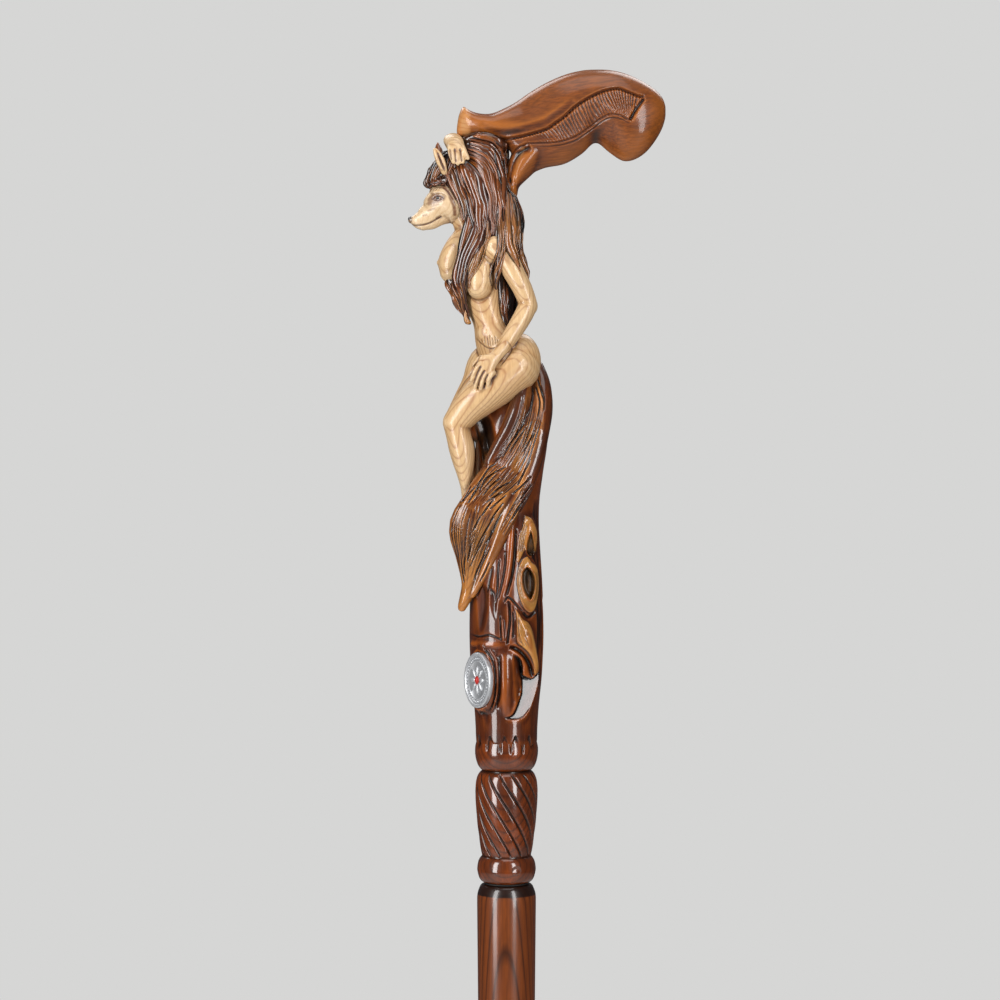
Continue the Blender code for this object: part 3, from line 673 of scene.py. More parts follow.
def farHand(clay):
    limb(clay, [(-26.5, 9, 879.5, 3.4, 3.2), (-28, 4, 883, 4.2, 3.2), (-28, -3, 883.6, 4.6, 3.4),
                (-26.6, -8.4, 881.4, 4.6, 3.2), (-25.4, -11.5, 878, 4.2, 2.4)], side=(1, 0, 0.2), sides=18)
    for start, end in (((-29, 878.4), (-27.2, 870.6)), ((-26.8, 878), (-24.9, 869.8)),
                       ((-24.5, 877.6), (-22.3, 870.6)), ((-22.6, 878.6), (-19.8, 872.6))):
        middle = (0.5 * (start[0] + end[0]) - 0.2, 0.5 * (start[1] + end[1]))
        limb(clay, [(*atDepth(start, -11.5), 1.5), (*atDepth(middle, -13.4), 1.45), (*atDepth(end, -13.2), 1.1)],
             sides=10)


def makeFigure():
    clay = bmesh.new()
    for build in (torso, legs, nearArm, nearHand, farArm, farHand):
        build(clay)
    figure = fuse("figureSkin", clay, figureShape["voxel"], 3)
    creases = [
        [(-16.4, 782), (-13, 778.4), (-9, 775.6), (-5, 776), (-2.4, 779)],
        [(-12.6, 772.8), (-14.4, 769), (-17.8, 764), (-22.6, 757.5), (-26.4, 750.6)],
        [(0, 779), (2.6, 774.6), (-0.4, 769.6), (-3.4, 765.6)],
    ]
    # short cuts that stand on the waist's crease: across, and how tall
    marks = [(-12.6, 3), (-11.2, 4.4), (-9.6, 3.6), (-8.4, 5), (-6.8, 3.4), (-5.4, 4.2), (-4.2, 2.4)]
    creases += [(0.45, 0.25, [(u, 778.6 - 0.1 * (12.6 + u) * (-3.6 - u)), (u - 0.4 - 0.06 * (8 + u), 778 + tall)])
                for u, tall in marks]
    refine(figure, creases, 1.2)
    gouge(figure, creases, 0.6, 0.4)
    wrinkles = [[(-31.6, 880.2 + rise), (-28.6, 882.6 + rise), (-25, 882.8 + rise), (-21.6, 880 + rise)]
                for rise in (-2.2, -0.8, 0.7, 2.2)]
    gouge(figure, wrinkles, 0.6, 0.16, taper=0.3)
    fingers = [[(-12.9, 766), (-15, 761.4), (-16.9, 756.4)], [(-11, 763.8), (-13.3, 759.8), (-14.8, 754.6)],
               [(-9.2, 762), (-10.9, 758.6), (-11.7, 754.6)],
               [(-29, 877.5), (-28.2, 871.4)], [(-26.6, 877.8), (-25.8, 870.2)], [(-23.9, 877.6), (-22.8, 870.6)]]
    gouge(figure, fingers, 0.75, 0.9, taper=0.12)
    shinShadow = [(-14.6, 725), (-15.8, 717), (-18, 709.6), (-20.6, 702)]
    paint(figure, "groove", [(shinShadow, 2.4, 0.5)], soft=1.0)
    shadeHollows(figure, 16, 0.4)
    return figure


figureWood = woodMaterial("paleCarvedAsh", figureLook)
figure = makeFigure()
placeCarved(figure, figureWood)


# The wolf's face, in profile, with its ears

faceShape = {"voxel": 0.34, "eye": (-35.2, 853.0), "noseTip": (-49.7, 842.9)}


def faceClay(clay):
    up = (0, 0, 1)
    limb(clay, [(-49.1, 0, 842.4, 1.8, 2.1), (-46.8, 0, 842.2, 3.8, 3.3), (-44.2, 0, 842.4, 5.2, 4),
                (-41.2, 0, 843.7, 6.3, 4.8), (-38.2, 0, 845.6, 7.1, 6), (-35.2, 0, 848.7, 9, 7.8),
                (-31, 0, 850.8, 11, 9.4), (-25, 0, 851.4, 10, 9.4)], side=up, sides=28)
    limb(clay, [(-20, 0, 846, 6, 8), (-27, 0, 845.6, 4.6, 6.2), (-34, 0, 844, 4.2, 4.8), (-39, 0, 841.6, 4.1, 4.2),
                (-43, 0, 839.8, 2.8, 3.2)], side=up, sides=20)
    ball(clay, (-36.6, 0, 856.8), (3.3, 5.6, 3.2))
    for deep in (-1, 1):
        ball(clay, (-34.8, 4.6 * deep, 855.8), (4.2, 2.4, 1.7))


def nearEar(clay):
    # a leaf with a raised rim
    for across, wide in ((-1.1, 1.3), (1.2, 1.15)):
        limb(clay, [(-31.8 + across * 0.5, -8.8, 866.6, 0.7), (-33.4 + across, -9.8, 870.6, wide),
                    (-35.1 + across * 0.9, -10.2, 874.6, wide * 0.95), (-36.7 + across * 0.3, -10, 877.6, 0.7)],
             sides=12)
    limb(clay, [(-31.8, -7.8, 866, 1.6, 1.2), (-33.6, -8.8, 871, 2.2, 1.2), (-35.4, -9.2, 875.6, 1.5, 0.8)],
         side=(1, 0, 0))


def farEar(clay):
    limb(clay, [(-33, 5.6, 867, 2.4, 2.8), (-34.3, 6.8, 873, 2.4, 3.5), (-35.2, 7.8, 879, 2.1, 2.8),
                (-35.6, 8.4, 882, 1.3, 1.6), (-35.7, 8.6, 883.2, 0.7, 0.9)], side=(1, 0, 0))


# the lines of the face, drawn on the near side and mirrored to the far one
mouth = [(-33.2, 843.8), (-35.4, 842.9), (-37.4, 841.6), (-40, 840.4), (-43.5, 839.6), (-47, 839.4), (-49.2, 840.2)]
lipCorner = [(-33.4, 843.8), (-36.6, 842.4)]
brow = [(-40.6, 853), (-38, 855), (-35, 855.6), (-32, 854.6), (-30.6, 852.8)]
cheekLines = [[(-38.6, 858.2), (-35, 858.8), (-31.6, 857.6), (-28.8, 854.6), (-26.8, 850.8)],
              [(-30.6, 856.6), (-28, 853), (-25.6, 848.4)], [(-29, 857.4), (-26.6, 853.6), (-24.6, 849.6)]]
furLines = [[(-42 + 1.7 * k, 855.4 + 0.5 * k), (-40.2 + 1.8 * k, 857.6 + 0.42 * k), (-37.8 + 1.7 * k, 859 + 0.3 * k)]
            for k in range(6)]
specks = [(-39.4, 857.6), (-37, 859.4), (-34.6, 858.4), (-32.8, 859.6), (-38.4, 855.6), (-41.2, 850.2)]
# each row: attribute, radius, strength, softness, lines
facePaints = [
    ("second", 1.5, 0.9, 0.5, [[(-39.6, 852.2), (-37.6, 853.6), (-35.4, 854.4)],
                               [(-39.8, 850.4), (-37.4, 851), (-33.8, 851.8)]]),
    ("second", 1.9, 1.0, 0.5, [[(-36.8, 852.9), (-33, 852.7)]]),
    ("second", 0.8, 0.7, 1.0, [[(-40.4, 846.6), (-37, 847.6)], [(-43, 844.4), (-41, 844.6)],
                               [(-38.6, 849), (-35, 849.6)]]),
    ("second", 1.3, 1.0, 0.6, [[(-33.4, 860), (-30.4, 856.4), (-28, 852)],
                               [(-31.4, 861.4), (-28.8, 857.6), (-26.4, 852.4)],
                               [(-29, 853.4), (-27, 848.6), (-26.6, 844.6)]]),
]


def makeFace():
    clay = bmesh.new()
    faceClay(clay)
    face = fuse("wolfFace", clay, faceShape["voxel"], 4)
    eyeAcross, eyeUp = faceShape["eye"]
    eyelids = [[(eyeAcross - 3, eyeUp - 0.5), (eyeAcross - 1, eyeUp + 1.1), (eyeAcross + 1.2, eyeUp + 0.9),
                (eyeAcross + 2.6, eyeUp - 0.2)],
               [(eyeAcross - 2.6, eyeUp - 0.6), (eyeAcross, eyeUp - 1.3), (eyeAcross + 2.4, eyeUp - 0.3)]]
    for azimuth, side in bothSides:
        gouge(face, mirrored([mouth], side), 0.75, 0.55, azimuth, taper=0.05)
        gouge(face, mirrored([lipCorner], side), 1.1, 0.5, azimuth)
        lids = mirrored(eyelids, side)
        gouge(face, lids, 0.55, 0.35, azimuth)
        gouge(face, mirrored([brow], side), 0.8, 0.25, azimuth)
        gouge(face, mirrored(cheekLines, side), 0.6, 0.3, azimuth)
        # painted shade in the eyelid cuts
        paint(face, "groove", [(line, 0.75, 0.9) for line in lids], azimuth, 0.6)
        for name, radius, strength, soft, lines in facePaints:
            paint(face, name, [(line, radius, strength) for line in mirrored(lines, side)], azimuth, soft)
        fur = mirrored(furLines, side)
        refine(face, fur, 0.8, azimuth)
        gouge(face, fur, 0.5, 0.4, azimuth)
        underJawShade, nostril = mirrored([[(-30, 840.4), (-24, 841.4), (-19, 842.6)], [(-49.8, 841.6), (-49.6, 843.4)]], side)
        # painted shade under the jaw
        paint(face, "second", [(underJawShade, 3.4, 0.45)], azimuth, 1.0)
        dots = mirrored([[spot, (spot[0] + 0.8, spot[1] + 0.1)] for spot in specks], side)
        paint(face, "second", [(dot, 0.5, 0.7) for dot in dots], azimuth)
        # painted shade in the nostril
        paint(face, "groove", [(nostril, 1.3, 0.9)], azimuth, 0.4)
    shadeHollows(face, 14, 0.3)
    return face


faceLook = dict(figureLook, wood=(224, 196, 156), ring=(182, 134, 86), stain=(204, 166, 120), worn=(240, 220, 186),
                ringStrength=0.55, ringGap=1.5, pith=(14, 60, 850))


def makeFeatures(face):
    # the eyes and the tip of the nose
    tree = treeOf(face)
    clay = bmesh.new()
    noseAcross, noseUp = faceShape["noseTip"]
    ball(clay, (noseAcross, 0, noseUp), (1.2, 1.9, 1.4))
    across, up = faceShape["eye"]
    for azimuth, side in bothSides:
        deep = surfaceAt(tree, side * across, up, azimuth)
        ball(clay, (across, side * (deep + 0.3), up), (1.15, 0.8, 0.85), lean=-8)
    return pieceFrom(clay, "wolfEyesAndNose")


inkLook = {"colour": (18, 12, 9), "roughness": 0.2, "coat": 1.0}


face = makeFace()
placeCarved(face, woodMaterial("paleFaceAsh", faceLook))
placeCarved(makeFeatures(face), plainMaterial("blackGlossPaint", inkLook))


# Hair: locks laid over a head and back of clay

hairLook = {
    "wood": (106, 49, 13), "ring": (54, 22, 7), "pore": (34, 14, 5), "stain": (52, 21, 7),
    "dark": (12, 5, 2), "worn": (172, 94, 32), "blotchSize": 10,
    "pith": (40, 60, 830), "along": (-0.05, 0.07, 1), "ringGap": 2.4, "sway": 1.5, "ringStrength": 0.6,
    "pores": 0.4, "fibre": 0.4, "blotch": 0.7, "hollow": 1.7, "ridge": 0.6, "groove": 0.9,
    "roughness": 0.36, "specular": 0.2, "coat": 0.9, "coatRoughness": 0.1, "bump": 0.2, "bare": (214, 160, 96),
    "lineGap": 0.6, "lineStrength": 0.6,
}

hairShape = {"voxel": 0.75}


def hairBase(clay):
    limb(clay, [(-9.6, 0, 884, 9.6, 9), (-11, 0, 878, 9.8, 10.8), (-11.4, 0, 870, 9.8, 12.2),
                (-11.4, 0, 861, 11.2, 13.4), (-8.6, 0, 850, 13.2, 14.4), (-7.6, 0, 840, 13.2, 15),
                (-7, 0, 830, 12, 14.4), (-4, 3, 820, 10.4, 11.4), (-0.6, 5, 810, 7.6, 8), (0, 6, 798, 5.6, 6),
                (0.6, 6, 785, 5.2, 5)], side=(1, 0, 0), sides=28)
    ball(clay, (-21.6, 0, 864.4), (10.8, 10.6, 11.8))
    ball(clay, (-28.6, 0, 871.2), (7.6, 8.6, 7.6))
    ball(clay, (-17, 0, 876.5), (9, 9.8, 9))
    ball(clay, (-3.6, 0, 866), (3.8, 8.4, 13.4))
    limb(clay, [(-28, 0, 870, 7.2), (-33.4, 0, 868, 5.8), (-37.2, 0, 864.6, 3.9), (-39, 0, 861.4, 2.2)])
    for deep in (-1, 1):
        limb(clay, [(-29, 4.4 * deep, 864.5, 4), (-25, 6.4 * deep, 858, 4.2), (-21, 6.8 * deep, 850, 4.6),
                    (-17.8, 6.6 * deep, 842, 4.8), (-16, 6 * deep, 834, 5)])
    limb(clay, [(-39.4, 0, 860.2, 1.9, 3.6), (-36, 0, 861.4, 2.4, 6), (-31.4, 0, 862.2, 3, 7.6)], side=(0, 0, 1))
    limb(clay, [(3, 0, 828, 4.4, 7), (6.4, -4, 818, 3.4, 5), (9.6, -7, 810, 2.4, 3), (11.4, -8.6, 802.6, 1.2, 1.6)],
         side=(1, 0, 0))
    limb(clay, [(-15, -4, 862, 5, 3.6), (-15.6, -7.6, 852, 5.8, 4.2), (-16.4, -9.8, 842, 6.2, 4),
                (-17.6, -11.6, 830, 7, 3.7), (-21, -10.6, 817, 7, 3.5), (-23.8, -7.8, 806, 4.8, 3),
                (-22.3, -5.6, 797, 2.5, 2.3), (-20.2, -4.6, 791, 1.4, 1.4), (-19.2, -4.6, 788.8, 1.2, 1.2)],
         side=(1, -0.6, 0), sides=20)
    limb(clay, [(-29, -2, 811, 2.4), (-27, -2.5, 804, 2.1), (-23.5, -3.5, 797, 1.6)])
    limb(clay, [(-20, 0, 883, 3.6, 9), (-14, 0, 884.4, 4.4, 10.8), (-6, 0, 882.4, 4.2, 11), (-1.6, 0, 880.8, 3, 9.6)],
         side=(0, 0, 1), sides=20)
    limb(clay, [(0.6, 0, 852, 4, 8), (3.4, 0, 843, 4.6, 9), (3.8, 0, 833, 3.8, 8)], side=(1, 0, 0))
    limb(clay, [(0.6, -6, 852, 4.4, 4), (1.4, -12, 842, 5.4, 4.4), (2.4, -16, 832, 5, 3.8), (3.6, -18, 824, 3.4, 2.6),
                (5, -18.4, 819, 1.6, 1.2)], side=(1, 0, 0))
    limb(clay, [(-1.4, -11, 842, 3.4, 3.4), (-2.4, -15, 832, 2.4, 2.8), (-3.4, -16, 822, 2.2, 2.4),
                (-5, -14, 812, 1.8, 2), (-5.2, -12.4, 806, 1, 1.2)], side=(1, 0, 0))
    limb(clay, [(-3, -6, 820, 3, 3), (-2.4, -6, 810, 3.4, 3), (-1.8, -5, 800, 3, 3), (-0.6, -4, 790, 2.4, 2.4),
                (1, -3, 782, 2, 2)], side=(1, 0, 0))


# the locks, each row: left guide, right guide, how many, thickness, how pale; these are on both sides
crownFalls = [
    ([(-27, 869.5), (-25.6, 863), (-22.6, 855), (-19.4, 847), (-17.8, 839), (-18, 832)],
     [(-19.4, 871), (-16, 867.6), (-13, 862), (-11, 855), (-9.8, 847), (-9.6, 838), (-11, 830)], 8, 1.2, 0),
    ([(-19.6, 871.4), (-15.6, 868.4), (-12, 863.4), (-9.8, 857), (-8.6, 849), (-8.4, 840), (-9.4, 831)],
     [(-20, 883.4), (-13, 882.2), (-7, 879.4), (-3.6, 874.6), (-1.8, 868), (-0.6, 860), (0.6, 851), (2.2, 842),
      (2.4, 832)], 12, 1.05, 0),
    ([(-18, 884.2), (-12, 883.2), (-6.4, 880.4), (-3, 875.4), (-1.6, 869)],
     [(-14, 886.6), (-8, 885), (-2.4, 881.6), (-0.8, 876), (-0.6, 870)], 4, 0.9, 0),
    ([(-3, 881.4), (-1.8, 876.4), (-1.4, 870), (-0.8, 862)],
     [(3, 880.4), (1, 876), (-0.2, 871), (0.4, 863)], 3, 0.8, 0),
    ([(-0.4, 864), (1.4, 856), (3, 848), (4, 840), (4.6, 832), (5.6, 822), (8, 813)],
     [(4.2, 861), (6, 852), (8.6, 844), (8.4, 835), (8, 827), (9.6, 818), (11.6, 808)], 6, 1.0, 0.3),
    ([(-35.6, 877), (-38.8, 872.4), (-41.2, 866.4), (-42, 861.6), (-40.6, 858.4)],
     [(-31.4, 868.4), (-33.6, 866.4), (-35.6, 864), (-36.8, 862.2), (-36, 860.6)], 9, 0.78, 0.1),
    ([(-27.4, 876), (-29.4, 872), (-31.4, 868), (-33.4, 864.6)],
     [(-26, 871), (-27.6, 868), (-29.6, 865), (-31.6, 862.4)], 4, 0.8, 0),
    ([(-32, 866.6), (-29.8, 862), (-27.4, 857), (-25.2, 851.4), (-23.4, 845.6), (-22.4, 839.6), (-22.2, 834)],
     [(-27, 869), (-25.2, 863), (-22.6, 856), (-20, 849), (-18.6, 841), (-18, 833)], 7, 0.95, 0.12),
]
# curls across the top of the forehead
fringe = [
    [(-41.6, 860.4), (-40.6, 858.8), (-38.6, 859.6), (-37.4, 861.6), (-38, 864)],
    [(-39, 861.4), (-37, 860), (-34.8, 860.6), (-33.6, 862.4), (-34.4, 865)],
    [(-36, 861.8), (-34, 860.2), (-32, 860.4), (-30.8, 862.4), (-31.4, 865.6)],
    [(-41.4, 863.4), (-39, 861.4), (-36, 862), (-33, 861.2), (-30.2, 858.6)],
]
# these are on the near side only
chestFalls = [
    ([(-20.4, 847), (-20.6, 841), (-22.4, 835), (-23.4, 829), (-25, 823), (-26.6, 817), (-26.8, 811), (-25.4, 804),
      (-22.6, 796), (-20.4, 789)],
     [(-10.4, 846), (-9.8, 839), (-11.4, 832), (-15, 825.4), (-18.6, 819), (-20.8, 813), (-21.2, 807), (-20.6, 800),
      (-19.4, 794), (-18, 789)], 11, 1.05, 0),
    ([(-32, 811), (-29.8, 805.4), (-26, 799), (-22.2, 792.6)],
     [(-27.6, 811), (-25.4, 804), (-22.8, 797.6), (-20.6, 792)], 4, 0.9, 0.1),
    ([(-11.6, 842), (-11, 837), (-13, 829.6), (-16.8, 821.6), (-19.4, 814), (-21, 806.6), (-20.4, 799)],
     [(-8.6, 840), (-8.4, 835), (-9.8, 828.6), (-12.4, 822), (-15, 815), (-17.8, 808), (-19.2, 801)], 6, 0.78, 0.42),
    ([(-5.4, 845), (-5, 838), (-4.2, 831), (-4.8, 825), (-7.6, 819), (-9, 812), (-8.8, 805), (-9.6, 797.6)],
     [(-0.6, 845), (-0.4, 838), (-0.4, 830), (-1, 823), (-3.6, 816), (-5.4, 809), (-5.4, 802), (-6.6, 796.6)],
     6, 0.8, 0.3),
    ([(-0.6, 858), (0, 849), (0.2, 840), (0.6, 833), (1.6, 826.6), (3.6, 821), (6.4, 815.6), (8.8, 810.8)],
     [(5, 858), (7.4, 848), (8.4, 838), (8.4, 830), (9.2, 823), (11.2, 816), (12.8, 808.6)], 9, 0.95, 0.32),
    ([(-2.8, 822), (-2.2, 812), (-3, 803), (-2.6, 795), (-1.2, 786)],
     [(0.4, 820), (1, 810), (0.4, 800), (1.4, 791), (2.4, 780)], 4, 0.8, 0),
]
chestTip = [(-21.2, 795), (-20.9, 791), (-19.4, 788.8), (-18, 789.8)]
# the plain far side, back and front: azimuth off the photograph's, left guide, right guide, how many, thickness
unseenFalls = [
    (180, [(9, 871), (11, 857), (12, 843), (12, 829), (8, 816)],
     [(24, 858), (22, 850), (20, 842), (19, 833), (14, 822)], 7, 0.95),
    (180, [(-7, 850), (-7, 836), (-6, 818), (-5, 803), (-5, 788)],
     [(14, 850), (14, 836), (11, 820), (6, 804), (5, 786)], 10, 1.3),
    (90, [(-12, 844), (-11, 830), (-8, 816), (-6, 802), (-2, 786)],
     [(12, 844), (11, 830), (9, 816), (11, 802), (11, 786)], 10, 1.2),
    (90, [(-14, 880), (-15, 868), (-15, 856), (-14, 844), (-12, 832), (-9, 820)],
     [(14, 880), (15, 868), (15, 856), (14, 844), (12, 832), (9, 820)], 14, 1.1),
    (-90, [(-7, 878), (-7.4, 874), (-6.6, 869), (-5, 864)], [(7, 878), (7.4, 874), (6.6, 869), (5, 864)], 7, 1.0),
]


def makeHair():
    clay = bmesh.new()
    hairBase(clay)
    base = fuse("longHair", clay, hairShape["voxel"], 3)
    # painted shade on the clay between the locks
    writeShade(base, "hollow", np.full(len(base.data.vertices), 0.4))
    for name in ("lines", "bare"):
        writeShade(base, name, np.zeros(len(base.data.vertices)))
    tree = treeOf(base)
    under = bmesh.new()
    for piece in (base, figure, face):
        under.from_mesh(piece.data)
    dressed = BVHTree.FromBMesh(under)
    under.free()
    locks = bmesh.new()
    locks.from_mesh(base.data)
    for azimuth, side in bothSides:
        for left, right, count, thick, pale in crownFalls:
            left, right = mirrored((left, right), side)
            bundle(locks, tree, left, right, count, thick, azimuth, 0.0, pale)
        for curl in mirrored(fringe, side):
            strand(locks, dressed, curl, 0.8, azimuth, 0.2, 0.2)
    for left, right, count, thick, pale in chestFalls:
        bundle(locks, dressed, left, right, count, thick, lift=-0.1, pale=pale, tone=0.0 if pale else 0.2)
    strand(locks, dressed, chestTip, 1.2, lift=0.3, flat=1.0, pale=1.0)
    for off, left, right, count, thick in unseenFalls:
        bundle(locks, tree, left, right, count, thick, photoAzimuth + off)
    locks.to_mesh(base.data)
    locks.free()
    base.data.shade_smooth()
    return base


darkWood = woodMaterial("darkHairAsh", hairLook)
placeCarved(makeHair(), darkWood)


def makeNearEar():
    clay = bmesh.new()
    nearEar(clay)
    ear = fuse("nearWolfEar", clay, faceShape["voxel"], 2)
    fold = [(-31.8, 867), (-33.6, 871), (-35.2, 875.4)]
    gouge(ear, [fold], 0.7, 0.6)
    paint(ear, "second", [(fold, 0.7, 1.0)], soft=0.3)
    shadeHollows(ear, 10, 0.3)
    return ear


def makeFarEar():
    clay = bmesh.new()
    farEar(clay)
    ear = fuse("farWolfEar", clay, faceShape["voxel"], 2)
    gouge(ear, [[(33, 868), (34.4, 874), (35.8, 880)]], 1.0, 0.8, photoAzimuth + 180)
    shadeHollows(ear, 10, 0.3)
    return ear


placeCarved(makeNearEar(), figureWood)
placeCarved(makeFarEar(), darkWood)


# Tail: a thick brush that falls across the stump

tailLook = dict(hairLook, lineStrength=0, wood=(122, 58, 15), ring=(64, 27, 8), dark=(18, 7, 3), worn=(206, 134, 62),
                bare=(204, 138, 62), pith=(60, 30, 700), along=(0.5, 0.1, 1), ringGap=3, hollow=1.6, ridge=0.8,
                roughness=0.32, coat=0.75)

tailShape = {"voxel": 0.6}


def tailBase(clay):
    limb(clay, [(15.5, 5, 766, 4.2), (17.2, -1, 756, 6, 4.6), (15.6, -6, 743, 8.6, 6.4), (10.8, -11.5, 729, 11.4, 6.6),
                (2.5, -14, 712, 14, 6.4), (-6.5, -14.4, 697, 15, 7.2), (-14.4, -13, 683, 15.6, 7),
                (-16.4, -11, 668, 10, 5.8), (-18.4, -9, 655, 5.1, 4.4), (-20.8, -8, 648, 3.4, 3.6),
                (-22.6, -7.6, 643.4, 2.5, 2.6), (-22.9, -7.6, 642.4, 2.2, 2.2)], side=(0.7, 0, 0.7), sides=28)
    limb(clay, [(9, -15, 713, 3.4, 4), (5.6, -17, 701, 4.6, 4.2), (0.8, -17.4, 689.6, 4.6, 3.8),
                (-4, -16.6, 678, 3.8, 3.6), (-8.6, -15, 667, 3.2, 3.2), (-13.4, -12.6, 657, 2.4, 2.6),
                (-17.6, -10.4, 649, 1.6, 2)],
         side=(0.8, 0, 0.5), sides=20)
    limb(clay, [(9.4, -6, 759, 3.4), (8, -8.4, 751, 5), (5.4, -10.6, 742, 5.6), (1.4, -12, 733, 5.2),
                (-3.4, -13, 725, 4.4), (-8, -13.4, 717, 3.6)], side=(1, 0, 0))


# the deep cuts between the tufts
tailCuts = [
    [(9, 737), (3, 728), (-2.5, 719)], [(10.5, 735.5), (4.5, 727), (1.5, 722)], [(13, 738), (10.5, 730), (8, 724)],
    [(14.5, 732), (11, 727), (8.5, 722)], [(12.5, 719), (7, 708), (5.5, 705)], [(12.8, 710), (8, 705), (3, 700.6)],
    [(13, 706), (10, 702), (7.4, 698)], [(12.6, 702.6), (9.4, 698), (5.6, 693.6), (3, 689.6)],
    [(9, 697.6), (5.6, 692.8), (2.4, 687.6)], [(12.6, 697.4), (10, 694)],
    [(-5.5, 716), (-9, 714), (-14, 706), (-16, 702)],
    [(0, 715), (-10, 709), (-14, 701.5)], [(-16, 705), (-20, 700), (-24, 696)], [(-18, 705), (-22.5, 696.5)],
    [(-13, 706), (-16.6, 701), (-19.6, 696)], [(-3, 709), (-8, 705), (-12, 700)], [(2, 707), (-4, 703.6), (-9, 699)],
    [(-2, 702), (-6, 699.4), (-10.4, 696.4)], [(0, 700.4), (-4, 697), (-8.4, 693)],
    [(-6, 699), (-10, 693.6), (-12.6, 689.6)],
    [(-1.4, 696.4), (-5, 692), (-8.6, 686.6)], [(-7.4, 682.6), (-8.6, 679), (-10.6, 675.4)],
    [(-5, 691), (-8.6, 685.6), (-12.4, 679), (-15, 673.6), (-18.6, 667)],
    [(-10, 681), (-12.8, 676), (-16, 669.6), (-18.6, 663.6)], [(-8, 674.6), (-10.4, 669.4), (-13, 664), (-14.6, 659)],
    [(-10, 672.4), (-12.6, 667), (-15.4, 661), (-16.6, 656.4)], [(-17.8, 676), (-19, 671), (-20, 666)],
    [(-13, 690), (-15.6, 685), (-17.4, 681)], [(-20.6, 671), (-21.6, 665), (-21.2, 658)],
    [(-23.4, 669), (-22.6, 662), (-21.8, 655)], [(-8.6, 666.4), (-11, 661), (-13.8, 655.6)],
    [(16, 760), (18, 753), (19, 749)], [(15, 756), (17, 748), (16, 740)], [(17.4, 757), (19.2, 750), (19, 743)],
]
# the finer cuts between them, each row: left guide, right guide, how many, width, depth
tailCombs = [
    ([(-23, 697), (-27.6, 689), (-28.8, 681), (-26.6, 672), (-24.2, 662), (-23, 652)],
     [(-12, 697), (-13.6, 688), (-15, 680), (-17.6, 670), (-19, 662), (-20.4, 652)], 22, 0.5, 0.5),
    ([(-13, 690), (-16, 683), (-19, 675), (-21, 667), (-21.6, 658)],
     [(-2, 692), (-6, 683), (-10.4, 673), (-13.4, 664), (-17, 655)], 18, 0.5, 0.5),
    ([(8, 752), (6.6, 742), (2, 731), (-4, 723), (-12, 713)], [(20, 750), (18, 738), (15, 728), (12, 718), (8, 709)],
     24, 0.5, 0.55),
    ([(-4, 718), (-11, 711), (-17, 703.6), (-24, 695)], [(10, 712), (4, 705), (-3, 699), (-10, 692)], 24, 0.5, 0.55),
    ([(12, 712), (7, 702), (1, 692), (-5, 681)], [(14, 704), (10, 696), (5, 688), (-1, 678)], 10, 0.5, 0.5),
]


def makeTail():
    clay = bmesh.new()
    tailBase(clay)
    tail = fuse("bushyTail", clay, tailShape["voxel"], 4)
    splitFaces(tail, flatSight(tail, photoAzimuth)[1] > -0.1)
    combs = [stroke for row in tailCombs for stroke in comb(*row)]
    gouge(tail, combs, 0.5, 0.5, taper=0.45)
    gouge(tail, tailCuts, 0.62, 1.15, taper=0.4)
    folds = comb([(-4, 756), (-8, 735), (-14, 712), (-18, 692)], [(12, 756), (12, 735), (8, 712), (2, 690)],
                 12, 0.8, 0.6)
    gouge(tail, folds, 0.8, 0.6, photoAzimuth + 90)
    brushed = comb([(7, 700), (6.6, 690), (6.4, 672), (6.6, 655), (7.4, 641)],
                   [(12.4, 700), (13.4, 690), (12.6, 672), (11, 655), (10.4, 641)], 8, 0.7, 0.5)
    gouge(tail, brushed, 0.7, 0.55, photoAzimuth - 90, taper=0.4)
    shadeHollows(tail, 16, 0.24)
    # painted shade along the tail's edges
    edges = [([(20, 778), (24, 744), (23, 730), (18, 715), (13, 700), (9, 682)], 5, 0.3),
             ([(9, 768), (7, 754), (3, 740), (-4, 727), (-14, 716), (-24, 712)], 3.4, 0.3)]
    paint(tail, "hollow", edges, soft=1.0)
    # the first two patches are painted highlights on the smooth ridges; the others are the paler wood of the tip and of
    # the left edge
    paint(tail, "bare", [([(-2, 700), (-4.4, 689), (-6.4, 681)], 4.2, 0.45), ([(6.4, 721), (4.6, 714)], 3, 0.4),
                         ([(-13, 682), (-17, 668), (-20, 654), (-22, 644)], 6.5, 0.65),
                         ([(-23, 690), (-25, 676)], 4, 0.4)], soft=1.0)
    return tail


placeCarved(makeTail(), woodMaterial("brushedTailAsh", tailLook))


# Stump: the hollow trunk with its knot hole, broken branch and bark folds

stumpLook = dict(hairLook, lineStrength=0, dull="hole", wood=(96, 40, 12), ring=(44, 17, 6), dark=(16, 6, 3),
                 worn=(168, 86, 26), bare=(200, 142, 72), hole=((96, 64, 30), (46, 28, 12)), pith=(0, 6, 650),
                 along=(0.03, 0.05, 1), ringGap=1.8, hollow=1.4, ridge=0.8, roughness=0.28, bump=0.7, pores=0.7,
                 blotch=0.75, coat=0.62)
# notches are degrees round the lower edge; the edge lies between two heights, outside a radius
stumpShape = {"voxel": 1.0, "notches": (-63, -33, -4, 17, 47, 80, 112, 143, 178, 208, 243, 270), "notchTall": 6.5,
              "notchReach": 7, "edgeLow": 566, "edgeHigh": 577, "edgeInside": 12.5}
# the medallion stands on the stump, so the seat for it is cut there
medallionShape = {"up": 605.5, "half": (9.8, 14.2), "back": 18.6, "thick": 2.6, "turn": 67, "seatGap": 0.35,
                  "sunk": 0.3}


